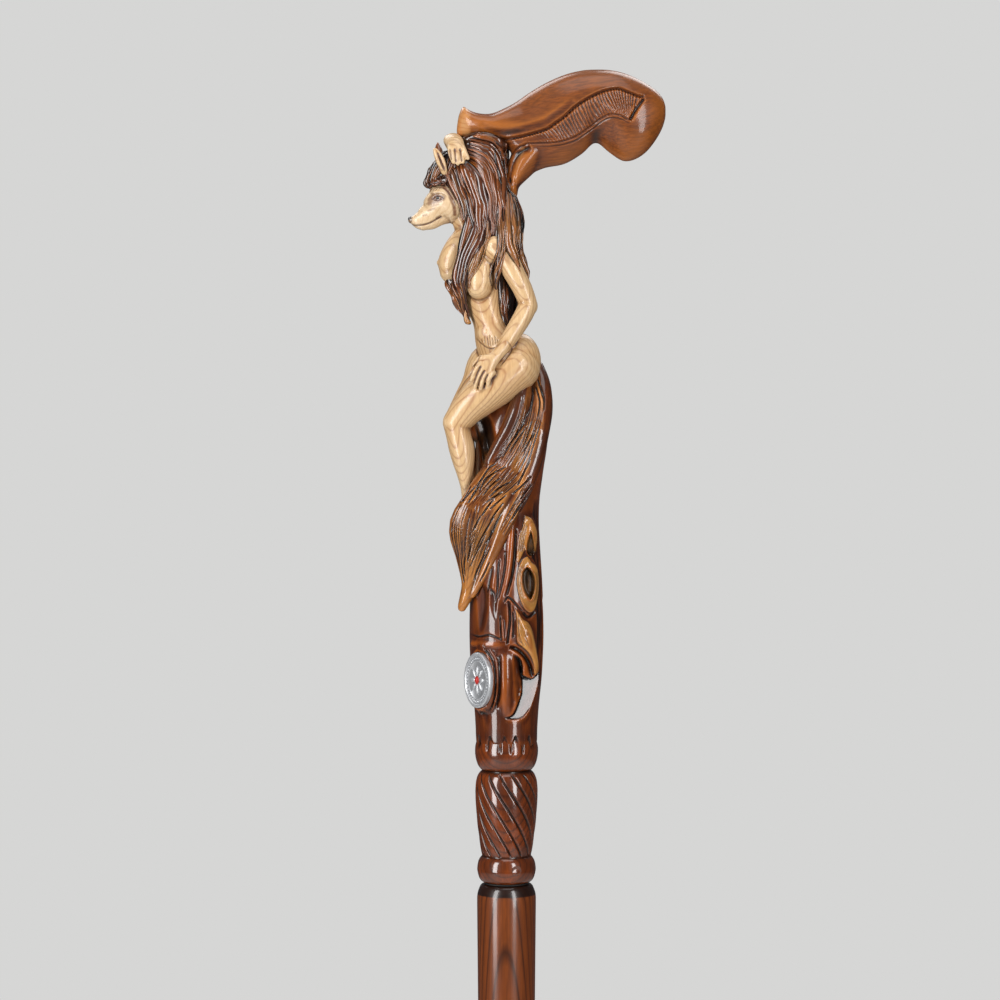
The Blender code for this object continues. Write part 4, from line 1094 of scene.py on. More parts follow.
def stumpClay(clay):
    limb(clay, [(8, 4, 758, 9, 10), (5, 5, 747, 15, 13), (3, 5, 732, 18.6, 14), (1.4, 2, 713, 17.6, 15.4),
                (0.5, 0, 695, 16.4, 16.5), (0, 0, 675, 17.4, 17.4), (0, 0, 650, 18.8, 18.8), (0, 0, 628, 19.2, 19.2),
                (0, 0, 608, 18.4, 18.4), (0, 0, 592, 16.8, 16.8), (0, 0, 580, 16, 16), (0, 0, 574, 15.9, 15.9),
                (0, 0, 572.4, 15.6, 15.6)], side=(1, 0, 0), sides=40)
    ball(clay, (-9, 4, 740), (12, 9, 15))
    ball(clay, (-10.8, -10, 605.5), (9, 9.5, 18), facing=-47)
    limb(clay, [(-0.8, -15, 622, 3.6), (-0.6, -16.2, 612, 4.2), (-0.4, -15.4, 600, 4), (0, -13.8, 590, 3.6),
                (1, -12.4, 584, 3)], sides=20)
    limb(clay, [(3.4, -17.4, 646, 1.2), (5.6, -16.8, 638, 2.8), (8.6, -16.2, 630, 4.2), (11, -14.6, 622, 4),
                (13.8, -12.4, 614, 2.8), (14.6, -12, 608, 1.6)], side=(1, 0.5, 0), sides=20)
    ball(clay, (11, -9.4, 655), (5.8, 7.4, 15.4))
    ball(clay, (11.4, -8.8, 679), (4.6, 7, 12))
    limb(clay, [(3.4, -15.6, 690, 1.8), (2.2, -16.6, 678, 2.2), (1.2, -17.2, 667, 2.2), (-0.6, -17.6, 656, 2),
                (-3.4, -17.4, 646, 1.8), (-4.4, -17.4, 637, 1)], side=(1, 0, 0))
    limb(clay, [(-5, -15.8, 665, 1.4), (-6, -17, 656, 1.7), (-7.2, -17.2, 647, 1.2)], side=(1, 0, 0))
    limb(clay, [(-17, -7.6, 624, 1.6), (-12, -13.4, 624, 2.4), (-5, -16.8, 624, 2.4), (1, -17.6, 624.4, 1.8)],
         side=(0, 0, 1))


knotRing = [(10.8, 669), (8.2, 667.4), (6.2, 663), (5.2, 657), (5.8, 651), (7.4, 645.6), (9.6, 641.8), (12, 640.2),
            (14.2, 641.4), (15.8, 645.4), (16.8, 651), (16.9, 657), (16.2, 662), (14.6, 664.6), (12.8, 666)]
knotHole = [(8.2, 661), (9.8, 663.2), (11.6, 663), (13.4, 661), (14.8, 657), (14.8, 652.6), (13.8, 649),
            (12.2, 646.6), (10.2, 648.6), (8.6, 652), (7.7, 657)]
topLeaf = [(9.4, 690), (8.4, 684.6), (6.4, 679), (5.2, 669), (6, 665.6), (7.6, 668.6), (9.6, 672), (12.6, 670),
           (15.6, 671), (16.2, 676), (15.6, 682), (13, 688)]
topHollow = [(12.4, 682.4), (10.9, 678), (10.2, 674), (10.5, 670.4), (12.6, 668.8), (14.5, 671), (14.2, 676),
             (13.3, 680)]
splinter = [(3.2, 644.2), (4.8, 640), (5.2, 632), (5.5, 625.4), (8, 622.8), (11.4, 619.6), (13.6, 614.6),
            (14.2, 608.6), (15.6, 608.6), (16.6, 612.4), (15.6, 620), (14.2, 627), (13, 631.6), (11, 635.2),
            (8.2, 637), (6.2, 640)]
scoop = [(7.2, 609), (7.2, 600), (5.2, 593), (2.6, 588), (-1.4, 586.4), (3, 585.2), (8, 586), (11, 589), (14, 593.6),
         (16.2, 599.6), (17, 605), (16.8, 609.6), (14.6, 608), (12.6, 606.4)]
ridgeWall = [(2, 620), (7, 617), (8.6, 611), (7.9, 602), (6.2, 594), (4, 589), (1.4, 588.6), (1.8, 597), (2, 608)]

# each row: outline, a spot on the plane, its turn and tilt, softness
stumpFacets = [
    (ridgeWall, (2.4, -20, 605), 56, 0, 0.7),
    (scoop, (17, -6.8, 607), 15.5, 11, 0.6),
    ([(-18.4, 652), (-13, 656), (-9, 651), (-9.6, 640), (-12.4, 630), (-18.8, 630)], (-14, -12.2, 641), -32, 4, 2.0),
    ([(-9, 654), (-4.8, 650), (-5, 640), (-5.4, 629), (-10.4, 629.6)], (-7, -17.6, 640), -10, 6, 1.6),
    ([(1, 585.6), (6.6, 585.4), (5.6, 580.4), (3.8, 579.4), (2, 581)], (3.8, -16.2, 583), 10, 6, 0.6),
    ([(-6.4, 586), (-1.6, 585), (-1.4, 577.6), (-3.4, 575), (-6, 577)], (-4, -15.9, 580), -22, 0, 0.8),
    ([(-14, 590), (-9, 588), (-8, 578), (-13, 577)], (-11.4, -11.4, 583), -38, 0, 1.2),
    ([(8, 584), (12.6, 588), (14, 580), (11, 576.6), (8, 577)], (11, -11.8, 581), 36, 0, 1.2),
    ([(4.4, 685), (8.8, 687.4), (6.9, 679)], (6.6, -17.4, 683), 6, 10, 0.6),
]

# each row: width, depth, line; the faces are split along the first splitOnce, and again along the first splitTwice
splitOnce, splitTwice = 16, 15
stumpCuts = [
    (1.1, 1.8, [(4.6, 684), (4.4, 676), (4, 668), (3, 660), (1.4, 654), (-0.4, 648)]),
    (0.9, 1.1, [(-0.6, 672), (-0.8, 664), (-2.4, 655), (-4.6, 647)]),
    (0.8, 0.9, [(-3.6, 668), (-4.4, 660), (-4.6, 652), (-5.4, 645)]),
    (0.7, 0.7, [(-7, 664), (-8.6, 657), (-9.6, 650)]),
    (0.7, 0.6, [(-9, 662), (-12.4, 655), (-15, 648)]),
    (0.7, 1.2, [(-1, 645.4), (0.2, 648), (2.2, 647.4), (4.4, 645), (8.4, 640.4)]),
    (1.0, 1.8, [(1.2, 646.4), (1.8, 637), (1, 630), (0.4, 624)]),
    (0.8, 1.2, [(3, 641), (3.4, 634), (3.2, 627)]),
    (0.55, 0.8, [(-3.4, 639), (-3, 631), (-2.8, 625.6)]),
    (0.8, 0.8, [(-18.6, 628.8), (-14, 627.8), (-9, 628.8), (-4.4, 627.2), (-2, 626.6)]),
    (0.5, 1.0, [(-12, 622.6), (-8.6, 618.6), (-6.3, 612), (-5.8, 603), (-6.6, 595), (-9, 589.4)]),
    (1.3, 1.5, [(-3.6, 619), (-3.4, 609), (-3.8, 599), (-5.6, 591)]),
    (1.5, 2.6, [(1.4, 622.8), (5, 621.6), (8.8, 618.2), (11.6, 613.4), (13.2, 606.6)]),
    (1.2, 1.4, [(8.2, 640.6), (10.8, 637.8), (14.8, 640.6)]),
    (0.8, 0.7, [(16.8, 690), (16.9, 678), (17.4, 668)]),
    (0.9, 0.6, [(17.4, 662), (18, 648), (17.4, 634), (17.4, 620)]),
    (5.0, 3.4, [(-14, 741), (-10.6, 732), (-8.6, 720)]),
    (1.4, 1.4, [(-16.4, 737), (-13, 726), (-11, 716)]),
    (1.2, 1.4, [(-10.4, 741), (-7.4, 732), (-6.6, 724)]),
]
# the same, raised
stumpRidges = [
    (1.5, -1.1, [(-14, 623), (-10, 619.4), (-7.4, 612), (-6.8, 604), (-7.6, 596), (-9.6, 590)]),
    (0.9, -0.9, [(-9, 621.6), (-5.8, 617), (-4.7, 610), (-4.5, 602), (-5.4, 595), (-8, 589.4)]),
    (0.9, -1.0, [(-2.2, 637), (-1.9, 631), (-1.6, 625.6)]),
    (0.8, -0.7, [(5.4, 640), (5.2, 632), (5.6, 626), (8.4, 623)]),
    (0.6, -0.6, [(-0.8, 644.8), (0.2, 646.7), (1.6, 646.3), (3.6, 644)]),
]


def sinkSeat(stump):
    # a flat oval seat for the medallion
    half, azimuth = medallionShape["half"], -medallionShape["turn"]
    right, towardsEye = sightAxes(azimuth)
    points = pointsOf(stump) / mm
    across, near = points @ np.array(right), points @ np.array(towardsEye)
    wide, tall = [size + medallionShape["seatGap"] for size in half]
    inside = (across / wide) ** 2 + ((points[:, 2] - medallionShape["up"]) / tall) ** 2 < 1
    seat = medallionShape["back"] - medallionShape["sunk"]
    pushBack(stump, np.where(inside & (near > seat), near - seat, 0), azimuth)


def lowerEdge(points):
    up, away = points[:, 2], np.hypot(points[:, 0], points[:, 1])
    return (up > stumpShape["edgeLow"]) & (up < stumpShape["edgeHigh"]) & (away > stumpShape["edgeInside"])


def scallopEdge(stump):
    # lifts the lower edge into uneven notches, with painted shade inside them
    splitFaces(stump, lowerEdge(pointsOf(stump) / mm))
    points = pointsOf(stump) / mm
    edge = lowerEdge(points)
    right, towardsEye = sightAxes(photoAzimuth)
    around = np.degrees(np.arctan2(points @ np.array(right), points @ np.array(towardsEye)))
    lift = np.zeros(len(points))
    for notch in stumpShape["notches"]:
        off = np.abs((around - notch + 180) % 360 - 180)
        lift = np.maximum(lift, np.clip(1 - off / stumpShape["notchReach"], 0, 1))
    lift *= np.clip((stumpShape["edgeHigh"] - points[:, 2]) / 5, 0, 1) * edge
    points[:, 2] += lift * stumpShape["notchTall"]
    setPoints(stump, points * mm)
    # painted shade low in each notch
    dark = np.clip((stumpShape["edgeHigh"] - 2 - points[:, 2]) / 2, 0, 1) * edge * np.clip(lift * 3, 0, 1)
    writeShade(stump, "groove", np.maximum(readShade(stump, "groove"), dark))


def knotAndGrain():
    # fine lines: rings on the knot, grain on the hole's rim, the leaf and the splinter
    lines = [[(9.4 + r * math.cos(a), 631 + 1.2 * r * math.sin(a)) for a in np.linspace(0, 6.0, 9)]
             for r in (0.6, 1.5, 2.3)]
    lines += [[(6.4 + 0.5 * k, 664 - 1.2 * abs(k - 1)), (6.0 + 0.5 * k, 656), (7.4 + 0.7 * k, 647)] for k in range(3)]
    lines += [[(15.3 + 0.6 * k, 661), (15.6 + 0.5 * k, 654), (14.6 + 0.6 * k, 646)] for k in range(2)]
    lines += [[(8.6 + 0.9 * k, 687 - k), (7.2 + 0.8 * k, 679), (6.2 + 0.9 * k, 671)] for k in range(3)]
    lines += [[(5.8 + 0.7 * k, 637 - k), (6.6 + 1.2 * k, 629), (8.6 + 1.5 * k, 623)] for k in range(3)]
    return lines


def barkFolds():
    folds = []
    for k in range(7):
        across = -13 + 4.4 * k + rng.uniform(-1, 1)
        sway = rng.uniform(-2.6, 2.6, 4)
        low = rng.uniform(584, 620)
        folds.append([(across + sway[0], low), (across + sway[1], low + 30), (across + sway[2], low + 62),
                      (across * 0.8 + sway[3], low + rng.uniform(90, 110))])
    return folds


def makeStump():
    clay = bmesh.new()
    stumpClay(clay)
    stump = fuse("hollowStump", clay, stumpShape["voxel"], 4)
    closed = [[*line, line[0]] for line in (knotRing, knotHole, topLeaf, topHollow, splinter)]
    pared = [[*outline, outline[0]] for outline, *_ in stumpFacets]
    refine(stump, stumpCuts[:splitOnce] + stumpRidges + closed + pared, 1.3)
    refine(stump, stumpCuts[:splitTwice] + stumpRidges + closed, 0.7)
    for row in stumpFacets:
        facet(stump, *row)
    gouge(stump, stumpRidges, 1.0, -1.0, taper=0.2, sharp=2)
    press(stump, knotRing, -0.9, 0.7, "bare", 0.85)
    press(stump, topLeaf, -0.5, 0.6, "bare", 0.75)
    press(stump, splinter, -0.6, 0.6, "bare", 0.95)
    gouge(stump, stumpCuts, 1.0, 1.0, taper=0.18)
    press(stump, knotHole, 5.2, 1.5, "hole", 1.0)
    press(stump, topHollow, 2.6, 1.2, "hole", 1.0)
    fine = knotAndGrain()
    refine(stump, fine, 0.4)
    gouge(stump, fine, 0.4, 0.3, taper=0.1)
    scallopEdge(stump)
    pit = [(-19, 744), (-12.6, 733), (-10, 720), (-12, 704)]
    paint(stump, "hole", [(pit, 7, 0.75)], soft=0.8)
    for azimuth in (photoAzimuth + 180, photoAzimuth + 105):
        gouge(stump, barkFolds(), 1.9, 1.2, azimuth, taper=0.2, sharp=1.4)
    sinkSeat(stump)
    shadeHollows(stump, 14, 0.5)
    # less painted shade inside the holes, which keep their own colour
    writeShade(stump, "hollow", readShade(stump, "hollow") * (1 - 0.85 * readShade(stump, "hole")))
    return stump


placeCarved(makeStump(), woodMaterial("redStumpAsh", stumpLook))


# Turned neck: a gouged collar, the twisted band and the lower bead

neckLook = dict(hairLook, lineStrength=0, dull="groove", wood=(134, 60, 15), ring=(60, 25, 8), worn=(188, 104, 40),
                pith=(4, 90, 541), along=(0, 0.3, 1), ringGap=2.2, sway=0.25, ringStrength=0.75, groove=1.0,
                roughness=0.28, pores=0.5)
# turnPerMm is the band's twist in degrees, fluteShare the part of a flute's spacing that its groove takes
neckShape = {"flutes": 14, "sidesPerFlute": 16, "depth": 0.95, "turnPerMm": -2.44, "fluteShare": 0.3}
# each seam is (up, half width), each outline's points are (radius, up)
neckSeams = ((558, 0.9), (514.2, 0.6))
neckBead = [(12.3, 500.7), (13.2, 501.4), (14.2, 503), (15, 506), (15.1, 508), (14.6, 511), (13.6, 513), (12.7, 513.9)]
neckBand = [(12.7, 514.6), (13.2, 517), (13.7, 520), (14.3, 525), (15, 530), (15.6, 537), (16, 543), (16.1, 548),
            (15.7, 552.6), (14.8, 555.6), (13.6, 557.4)]
neckCollar = [(12.5, 558.2), (13.4, 559), (14.8, 561), (15.8, 564), (16.3, 567.4), (16.2, 570.4), (15.6, 573),
              (14.8, 575), (14.4, 576.6)]


def offFlute(around):
    # 0 on a flute's line and 1 midway between two
    return np.abs((around * neckShape["flutes"] / (2 * math.pi) + 0.5) % 1 - 0.5) / 0.5


def makeNeck():
    low, high = neckBand[0][1], neckBand[-1][1]
    turnPerMm = math.radians(neckShape["turnPerMm"])
    sides = neckShape["flutes"] * neckShape["sidesPerFlute"]
    rings = []
    for outline in (neckBead, neckBand, neckCollar):
        for radius, up in smoothRun(outline, 6):
            twist = turnPerMm * min(max(up, low), high)
            ease = min(1.0, (up - low) / 1.2, (high - up) / 2.0) if outline is neckBand else 0
            ring = []
            for k in range(sides):
                around = 2 * math.pi * k / sides
                groove = (1 - min(1, offFlute(around) / neckShape["fluteShare"])) ** 1.2
                r = (radius - neckShape["depth"] * groove * max(0.0, ease)) * mm
                ring.append((r * math.cos(around + twist), r * math.sin(around + twist), up * mm))
            rings.append(ring)
    clay = bmesh.new()
    closeLoft(clay, rings)
    bmesh.ops.recalc_face_normals(clay, faces=clay.faces)
    neck = pieceFrom(clay, "turnedNeck")
    points = pointsOf(neck) / mm
    inBand = np.clip(np.minimum(points[:, 2] - low + 0.3, high - points[:, 2]), 0, 1)
    around = np.arctan2(points[:, 1], points[:, 0]) - turnPerMm * np.clip(points[:, 2], low, high)
    # painted shade in the flutes, and dark lines at the seams
    dark = np.clip(1.4 - offFlute(around) / 0.2, 0, 1) * inBand
    for up, wide in neckSeams:
        dark = np.maximum(dark, np.exp(-((points[:, 2] - up) / wide) ** 2))
    writeShade(neck, "groove", dark)
    # the collar's gouged teeth
    teeth = [(-13.5, 575), (-9.3, 574), (-3.2, 573), (2.5, 573), (8, 572.6), (12.5, 574.5)]
    strokes = [[(across, up + 1), (across * 1.02, up - 2), (across * 1.03, up - 5.4)] for across, up in teeth]
    for azimuth in (photoAzimuth, photoAzimuth + 120, photoAzimuth - 120):
        gouge(neck, strokes, 1.0, 1.1, azimuth, taper=0.4)
    return neck


placeCarved(makeNeck(), woodMaterial("turnedNeckAsh", neckLook))


# Grip: a derby handle with a nose, a carved panel on each side and a stem behind the hair

gripLook = {
    "wood": (132, 67, 19), "ring": (74, 34, 10), "pore": (46, 21, 7), "stain": (88, 41, 12),
    "dark": (26, 10, 4), "worn": (186, 108, 38), "bare": (206, 164, 112),
    "pith": (20, 30, 850), "along": (1, 0.12, 0.16), "ringGap": 2.2, "sway": 1.6, "ringStrength": 0.55,
    "pores": 0.8, "fibre": 0.8, "blotch": 0.6, "hollow": 1.3, "ridge": 0.6, "groove": 0.95,
    "roughness": 0.42, "specular": 0.3, "coat": 0.5, "coatRoughness": 0.14, "coatIor": 1.55, "bump": 0.25,
}

gripShape = {"voxel": 0.72, "ribGap": 1.5, "ribDepth": 0.55}

# across, underside, top, half depth, pinch of the lower half
gripSlices = [
    (-25.7, 886.6, 890, 3, 0), (-24.6, 885.4, 896.6, 5.5, 0), (-22.3, 885, 901, 7.5, 0), (-19.8, 885, 899.4, 9, 0),
    (-15, 884.6, 897.5, 10.6, 0), (-8, 883.2, 897.2, 11.8, 0), (0, 880, 900.5, 12.3, 0), (6, 872, 904, 12.6, 0.1),
    (11, 866.5, 907.6, 13, 0.2), (20, 869.4, 913, 13.8, 0.2), (30, 871.4, 917.4, 14.6, 0.2),
    (39, 876.6, 919.6, 15, 0.25), (46, 882.4, 920, 15.3, 0.4), (53, 877.4, 919.8, 15.4, 0.5),
    (60, 873, 918.4, 15, 0.3), (66, 873.6, 916.1, 14.2, 0.1), (72, 877.4, 912.9, 12.8, 0),
    (77, 883.5, 909.4, 10.6, 0), (80.5, 889.8, 905.5, 7.6, 0), (82.1, 895, 901.5, 3.5, 0),
]
panelTop = [(-20, 884.6), (-12, 883.4), (0, 883), (10, 884.7), (20, 887.6), (25, 890.8), (30, 894.3), (35, 898.8),
            (42, 903.4), (50, 907), (57, 908.4), (62, 906.8), (68, 904.6), (70.8, 904.4)]
panelFoot = [(-1.4, 861), (-0.8, 866), (0.4, 871), (4, 877), (10, 880.1), (15, 880.6), (25, 881.1), (33, 883),
             (38, 885.6), (43, 889.2), (48, 893), (53, 895), (58, 894.4), (63, 891.8)]
stemFoot = 4        # how many of panelFoot's points lie on the stem, below the panel
# each row: width, depth, taper, sharpness, lines; all are on both sides
gripCuts = [
    (1.1, 1.6, 0.04, 1.0, [panelTop]),
    (3.4, 0.9, 0.2, 2, [[(across, up + 2.4) for across, up in panelTop[:8]]]),
    (0.8, 0.8, 0.04, 1.0, [panelFoot]),
    (0.55, 0.45, 0.15, 1.0, [[(across + 0.3, up - 1.7) for across, up in panelFoot[5:]]]),
    (1.3, 2.0, 0.1, 1.0, [[(70.4, 903.6), (66.6, 898), (63, 891.8)]]),
    (3.3, 2.4, 0.12, 1.0, [[(12.4, 879), (7.4, 876.4), (4, 871.6), (2.4, 866), (1.6, 859)]]),
    (0.6, 0.7, 0.25, 1.0, [[(0, 862), (1.6, 857.6)], [(1.8, 863.4), (3.2, 858)], [(4.4, 865), (4.6, 859)]]),
    (1.8, 0.5, 0.3, 2, [[(-13.6, 891), (-8, 888), (0, 886.4), (10, 887.4)]]),
]


def gripClay(clay):
    sides = 40
    rings = []
    for across, low, high, deep, pinch in smoothRun(gripSlices, 4):
        ring = []
        for k in range(sides):
            a = 2 * math.pi * k / sides
            narrowing = 1 - pinch * max(0.0, -math.sin(a))
            squared = math.copysign(abs(math.cos(a)) ** 0.86, math.cos(a))
            ring.append(drawn(across, deep * narrowing * squared, (low + high) / 2 + (high - low) / 2 * math.sin(a)))
        rings.append(ring)
    closeLoft(clay, rings)
    limb(clay, [(13, 0, 878, 8.5, 11), (7.4, 0, 870, 7.2, 10.4), (3.2, 0, 861.5, 4.2, 9), (3.4, 0, 856, 2.4, 7)],
         side=(1, 0, 0), sides=24)


def panelSight(grip, azimuth, side):
    # where each point is across and up, the panel's foot and top there, and how squarely it faces the eye
    flat, facing = flatSight(grip, azimuth)
    across = flat[:, 0] * side
    foot, top = [np.interp(across, *smoothRun(line, 6).T) for line in (panelFoot[stemFoot:], panelTop)]
    return across, flat[:, 1], foot, top, facing


def carvePanel(grip, azimuth, side):
    # a sunk panel of curved ribs between two drawn lines
    across, up, foot, top, facing = panelSight(grip, azimuth, side)
    share = (up - foot) / np.maximum(top - foot, 0.1)
    inside = (share > 0) & (share < 1) & (facing > 0.2)
    # it fades in behind the stem and stops at a slanted line by the palm end
    start = np.clip((across + 4) / 10, 0, 1)
    end = np.clip((69.5 - across - 0.44 * (904 - up)) / 1.2, 0, 1)
    sink = np.where(inside, np.sin(np.pi * np.clip(share, 0, 1)) ** 0.5 * (0.55 + 0.65 * share), 0) * start * end
    # the ribs curve over towards the top, and the other way by the palm end
    spread = np.clip((across - 56) / 9, 0, 1)
    lean = (1 - np.clip(share, 0, 1)) ** 1.3 * (5.2 * (1 - spread) - 2.5 * spread)
    wave = 0.5 + 0.5 * np.cos(2 * np.pi * (across - lean) / gripShape["ribGap"] + 0.8 * np.sin(across * 0.9))
    strength = np.clip((across - 14) / 16, 0.0, 1) * (0.35 + 0.65 * np.clip(share * 1.6, 0, 1))
    strength = np.maximum(strength, np.clip((share - 0.6) / 0.3, 0, 1) * np.clip((across - 2) / 5, 0, 1))
    ribs = np.where(inside, (1 - wave) ** 1.4 * gripShape["ribDepth"] * strength, 0) * end
    pushBack(grip, sink + ribs, azimuth)
    # painted shade between the ribs, darker where they sink deeper
    writeShade(grip, "groove", np.clip(ribs * 0.9, 0, 0.7))
    for width, depth, taper, sharp, lines in gripCuts:
        gouge(grip, mirrored(lines, side), width, depth, azimuth, taper, sharp)


def makeGrip():
    clay = bmesh.new()
    gripClay(clay)
    grip = fuse("carvedGrip", clay, gripShape["voxel"], 8, 0.6)
    for azimuth, side in bothSides:
        across, up, foot, top, facing = panelSight(grip, azimuth, side)
        splitFaces(grip, (facing > 0.1) & (across > -4) & (across < 73) & (up > foot - 3) & (up < top + 2))
        refine(grip, mirrored([panelTop, panelFoot], side), 1.0, azimuth)
    for azimuth, side in bothSides:
        carvePanel(grip, azimuth, side)
    shadeHollows(grip, 16, 0.35)
    for azimuth, side in bothSides:
        nose, stem = mirrored([[(-23.6, 897), (-23.4, 886)], [(8.4, 878), (6.4, 872), (4.4, 863)]], side)
        paint(grip, "bare", [(nose, 5.4, 0.95)], azimuth, soft=0.35)
        # a painted highlight down the edge of the stem
        paint(grip, "bare", [(stem, 1.3, 0.25)], azimuth)
    return grip


place(makeGrip(), "head", ["grip"], woodMaterial("carvedGripAsh", gripLook))


# Turned parts: each outline is turned by extruding and resizing a disc

def turn(name, outline, sides=96, ring=False):
    bpy.ops.object.select_all(action="DESELECT")
    radius, up = outline[0]
    bpy.ops.mesh.primitive_circle_add(vertices=sides, radius=radius * mm, fill_type="NGON", location=(0, 0, 0))
    piece = bpy.context.object
    piece.name = name
    bpy.ops.object.mode_set(mode="EDIT")
    bpy.ops.mesh.select_all(action="SELECT")
    bpy.ops.transform.translate(value=(0, 0, up * mm))
    for nextRadius, nextUp in outline[1:]:
        bpy.ops.mesh.extrude_region_move(TRANSFORM_OT_translate={"value": (0, 0, (nextUp - up) * mm)})
        grow = nextRadius / radius
        bpy.ops.transform.resize(value=(grow, grow, 1), center_override=(0, 0, nextUp * mm))
        radius, up = nextRadius, nextUp
    if ring:
        bpy.ops.mesh.delete(type="ONLY_FACE")
    bpy.ops.mesh.select_all(action="SELECT")
    if ring:
        bpy.ops.mesh.remove_doubles(threshold=1e-7)
    bpy.ops.mesh.normals_make_consistent(inside=False)
    bpy.ops.object.mode_set(mode="OBJECT")
    bpy.ops.object.shade_smooth_by_angle(angle=math.radians(38))
    return piece


shaftLook = dict(gripLook, wood=(128, 63, 21), ring=(54, 24, 9), pore=(38, 18, 8), stain=(96, 44, 15),
                 pith=(2, 52, 484), along=(0.01, 0.066, 1), ringGap=2.2, sway=0.2, ringStrength=0.95, pores=0.6,
                 fibre=0.35, blotch=0.3, roughness=0.3, coat=0.8, hollow=0, ridge=0, groove=1.0, bump=0.18)
shaftShape = {"darkFrom": 494.2, "dark": 0.95}       # the top edge, dark from this height up
# an outline's points are (radius, up)
shaftOutline = [(10, 12.2), (10.7, 12.5), (11, 13.2), (11, 49), (15.2, 489), (15.2, 492.4), (15.05, 494), (15, 494.4),
                (14.7, 495.6), (14.2, 497), (13.6, 498.4), (12.9, 499.2), (12.5, 499.3), (7.3, 499.3), (7.3, 477.3)]


def makeShaft():
    shaft = turn("ashShaft", shaftOutline)
    top = pointsOf(shaft)[:, 2] / mm > shaftShape["darkFrom"]
    writeShade(shaft, "groove", top * shaftShape["dark"])
    return shaft


place(makeShaft(), "shaft", ["shaft"], woodMaterial("stainedShaftAsh", shaftLook))


# Medallion: an oval disc with a raised rim, a beaded border and a plain rosette

pewterLook = {"colour": (222, 223, 224), "other": (188, 190, 194), "recess": (138, 140, 144), "enamel": (176, 30, 18),
              "metallic": 0.7, "roughness": 0.42, "bump": 0.4}
# on a disc of radius 10, before it is stretched to the oval
rosetteShape = {"petals": 8, "petalReach": 3.1, "beads": 40, "beadReach": 7.8, "bead": 0.42, "boss": 1.4}


def pearl(radius, reach, turned, up, scale=(1, 1, 1), segments=10, rings=6):
    spot = (reach * mm * math.cos(turned), reach * mm * math.sin(turned), up * mm)
    bpy.ops.mesh.primitive_uv_sphere_add(segments=segments, ring_count=rings, radius=radius * mm, location=spot)
    bpy.context.object.scale = scale
    return bpy.context.object


def makeMedallion():
    # turned as a round disc, then stretched to its oval and stood on the stump
    half, front = medallionShape["half"], medallionShape["thick"]
    outline = [(10, 0), (10, front - 0.5), (9.6, front), (8.9, front), (8.5, front - 0.7), (7.2, front - 0.8),
               (6.8, front - 0.4), (6.4, front - 0.8), (3, front - 0.9)]
    piece = turn("pewterMedallion", outline, 72)
    parts = [piece]
    for k in range(rosetteShape["petals"]):
        turned = 2 * math.pi * k / rosetteShape["petals"]
        petal = pearl(1, rosetteShape["petalReach"], turned, front - 0.8, (2.0, 0.85, 0.7), 16, 10)
        petal.rotation_euler = (0, 0, turned)
        parts.append(petal)
    parts.append(pearl(rosetteShape["boss"], 0, 0, front - 0.7, (1, 1, 0.8), 20, 12))
    for k in range(rosetteShape["beads"]):
        turned = 2 * math.pi * k / rosetteShape["beads"]
        parts.append(pearl(rosetteShape["bead"], rosetteShape["beadReach"], turned, front - 0.75))
    for part in parts:
        part.select_set(True)
    bpy.context.view_layer.objects.active = piece
    bpy.ops.object.transform_apply(location=True, rotation=True, scale=True)
    bpy.ops.object.join()
    local = pointsOf(piece) / mm
    reach = np.hypot(local[:, 0], local[:, 1])
    writeShade(piece, "hollow", np.clip((front - 0.5 - local[:, 2]) / 0.3, 0, 1) * (reach < 8.7) * 0.4)
    writeShade(piece, "second", ((reach < 1.5) & (local[:, 2] > front - 0.78)).astype(float))
    piece.data.transform(Matrix.Translation((0, 0, medallionShape["up"] * mm))
                         @ Matrix.Rotation(math.radians(-medallionShape["turn"]), 4, "Z")
                         @ Matrix.Translation((0, -medallionShape["back"] * mm, 0))
                         @ Matrix.Rotation(math.radians(90), 4, "X")
                         @ Matrix.Diagonal((half[0] / 10, half[1] / 10, 1, 1)))
    piece.data.update()
    piece.data.shade_smooth()
    piece.data.set_sharp_from_angle(angle=math.radians(40))
    return piece


place(makeMedallion(), "head", ["medallion"], plainMaterial("agedPewter", pewterLook))


# Small turned parts: stud, ferrule and washer

steelLook = {"colour": (190, 192, 196), "metallic": 1.0, "roughness": 0.28}
studShape = {"radius": 5.0, "foot": 483.0, "top": 540.0, "threadTop": 504.0, "pitch": 1.5, "depth": 0.8,
             "step": 0.12, "sides": 40}


def makeStud():
    # an M10 stud whose lower end is threaded
    foot, threadTop = studShape["foot"], studShape["threadTop"]
    sides = studShape["sides"]
    rings = []
    for up in [*np.arange(foot, threadTop, studShape["step"]), threadTop + 1, studShape["top"]]:
        chamfer = 0.7 * (1 - np.clip((up - foot) / 1.2, 0, 1))
        ring = []
        for k in range(sides):
            a = 2 * math.pi * k / sides
            tooth = abs(((up / studShape["pitch"] - a / (2 * math.pi)) % 1) - 0.5) * 2 if up < threadTop else 0
            r = (studShape["radius"] - (studShape["depth"] * tooth + chamfer)) * mm
            ring.append(Vector((r * math.cos(a), r * math.sin(a), up * mm)))
        rings.append(ring)
    clay = bmesh.new()
    closeLoft(clay, rings)
    bmesh.ops.recalc_face_normals(clay, faces=clay.faces)
    stud = pieceFrom(clay, "threadedStud")
    stud.data.set_sharp_from_angle(angle=math.radians(50))
    return stud


place(makeStud(), "head", ["joint_stud"], plainMaterial("zincSteel", steelLook))

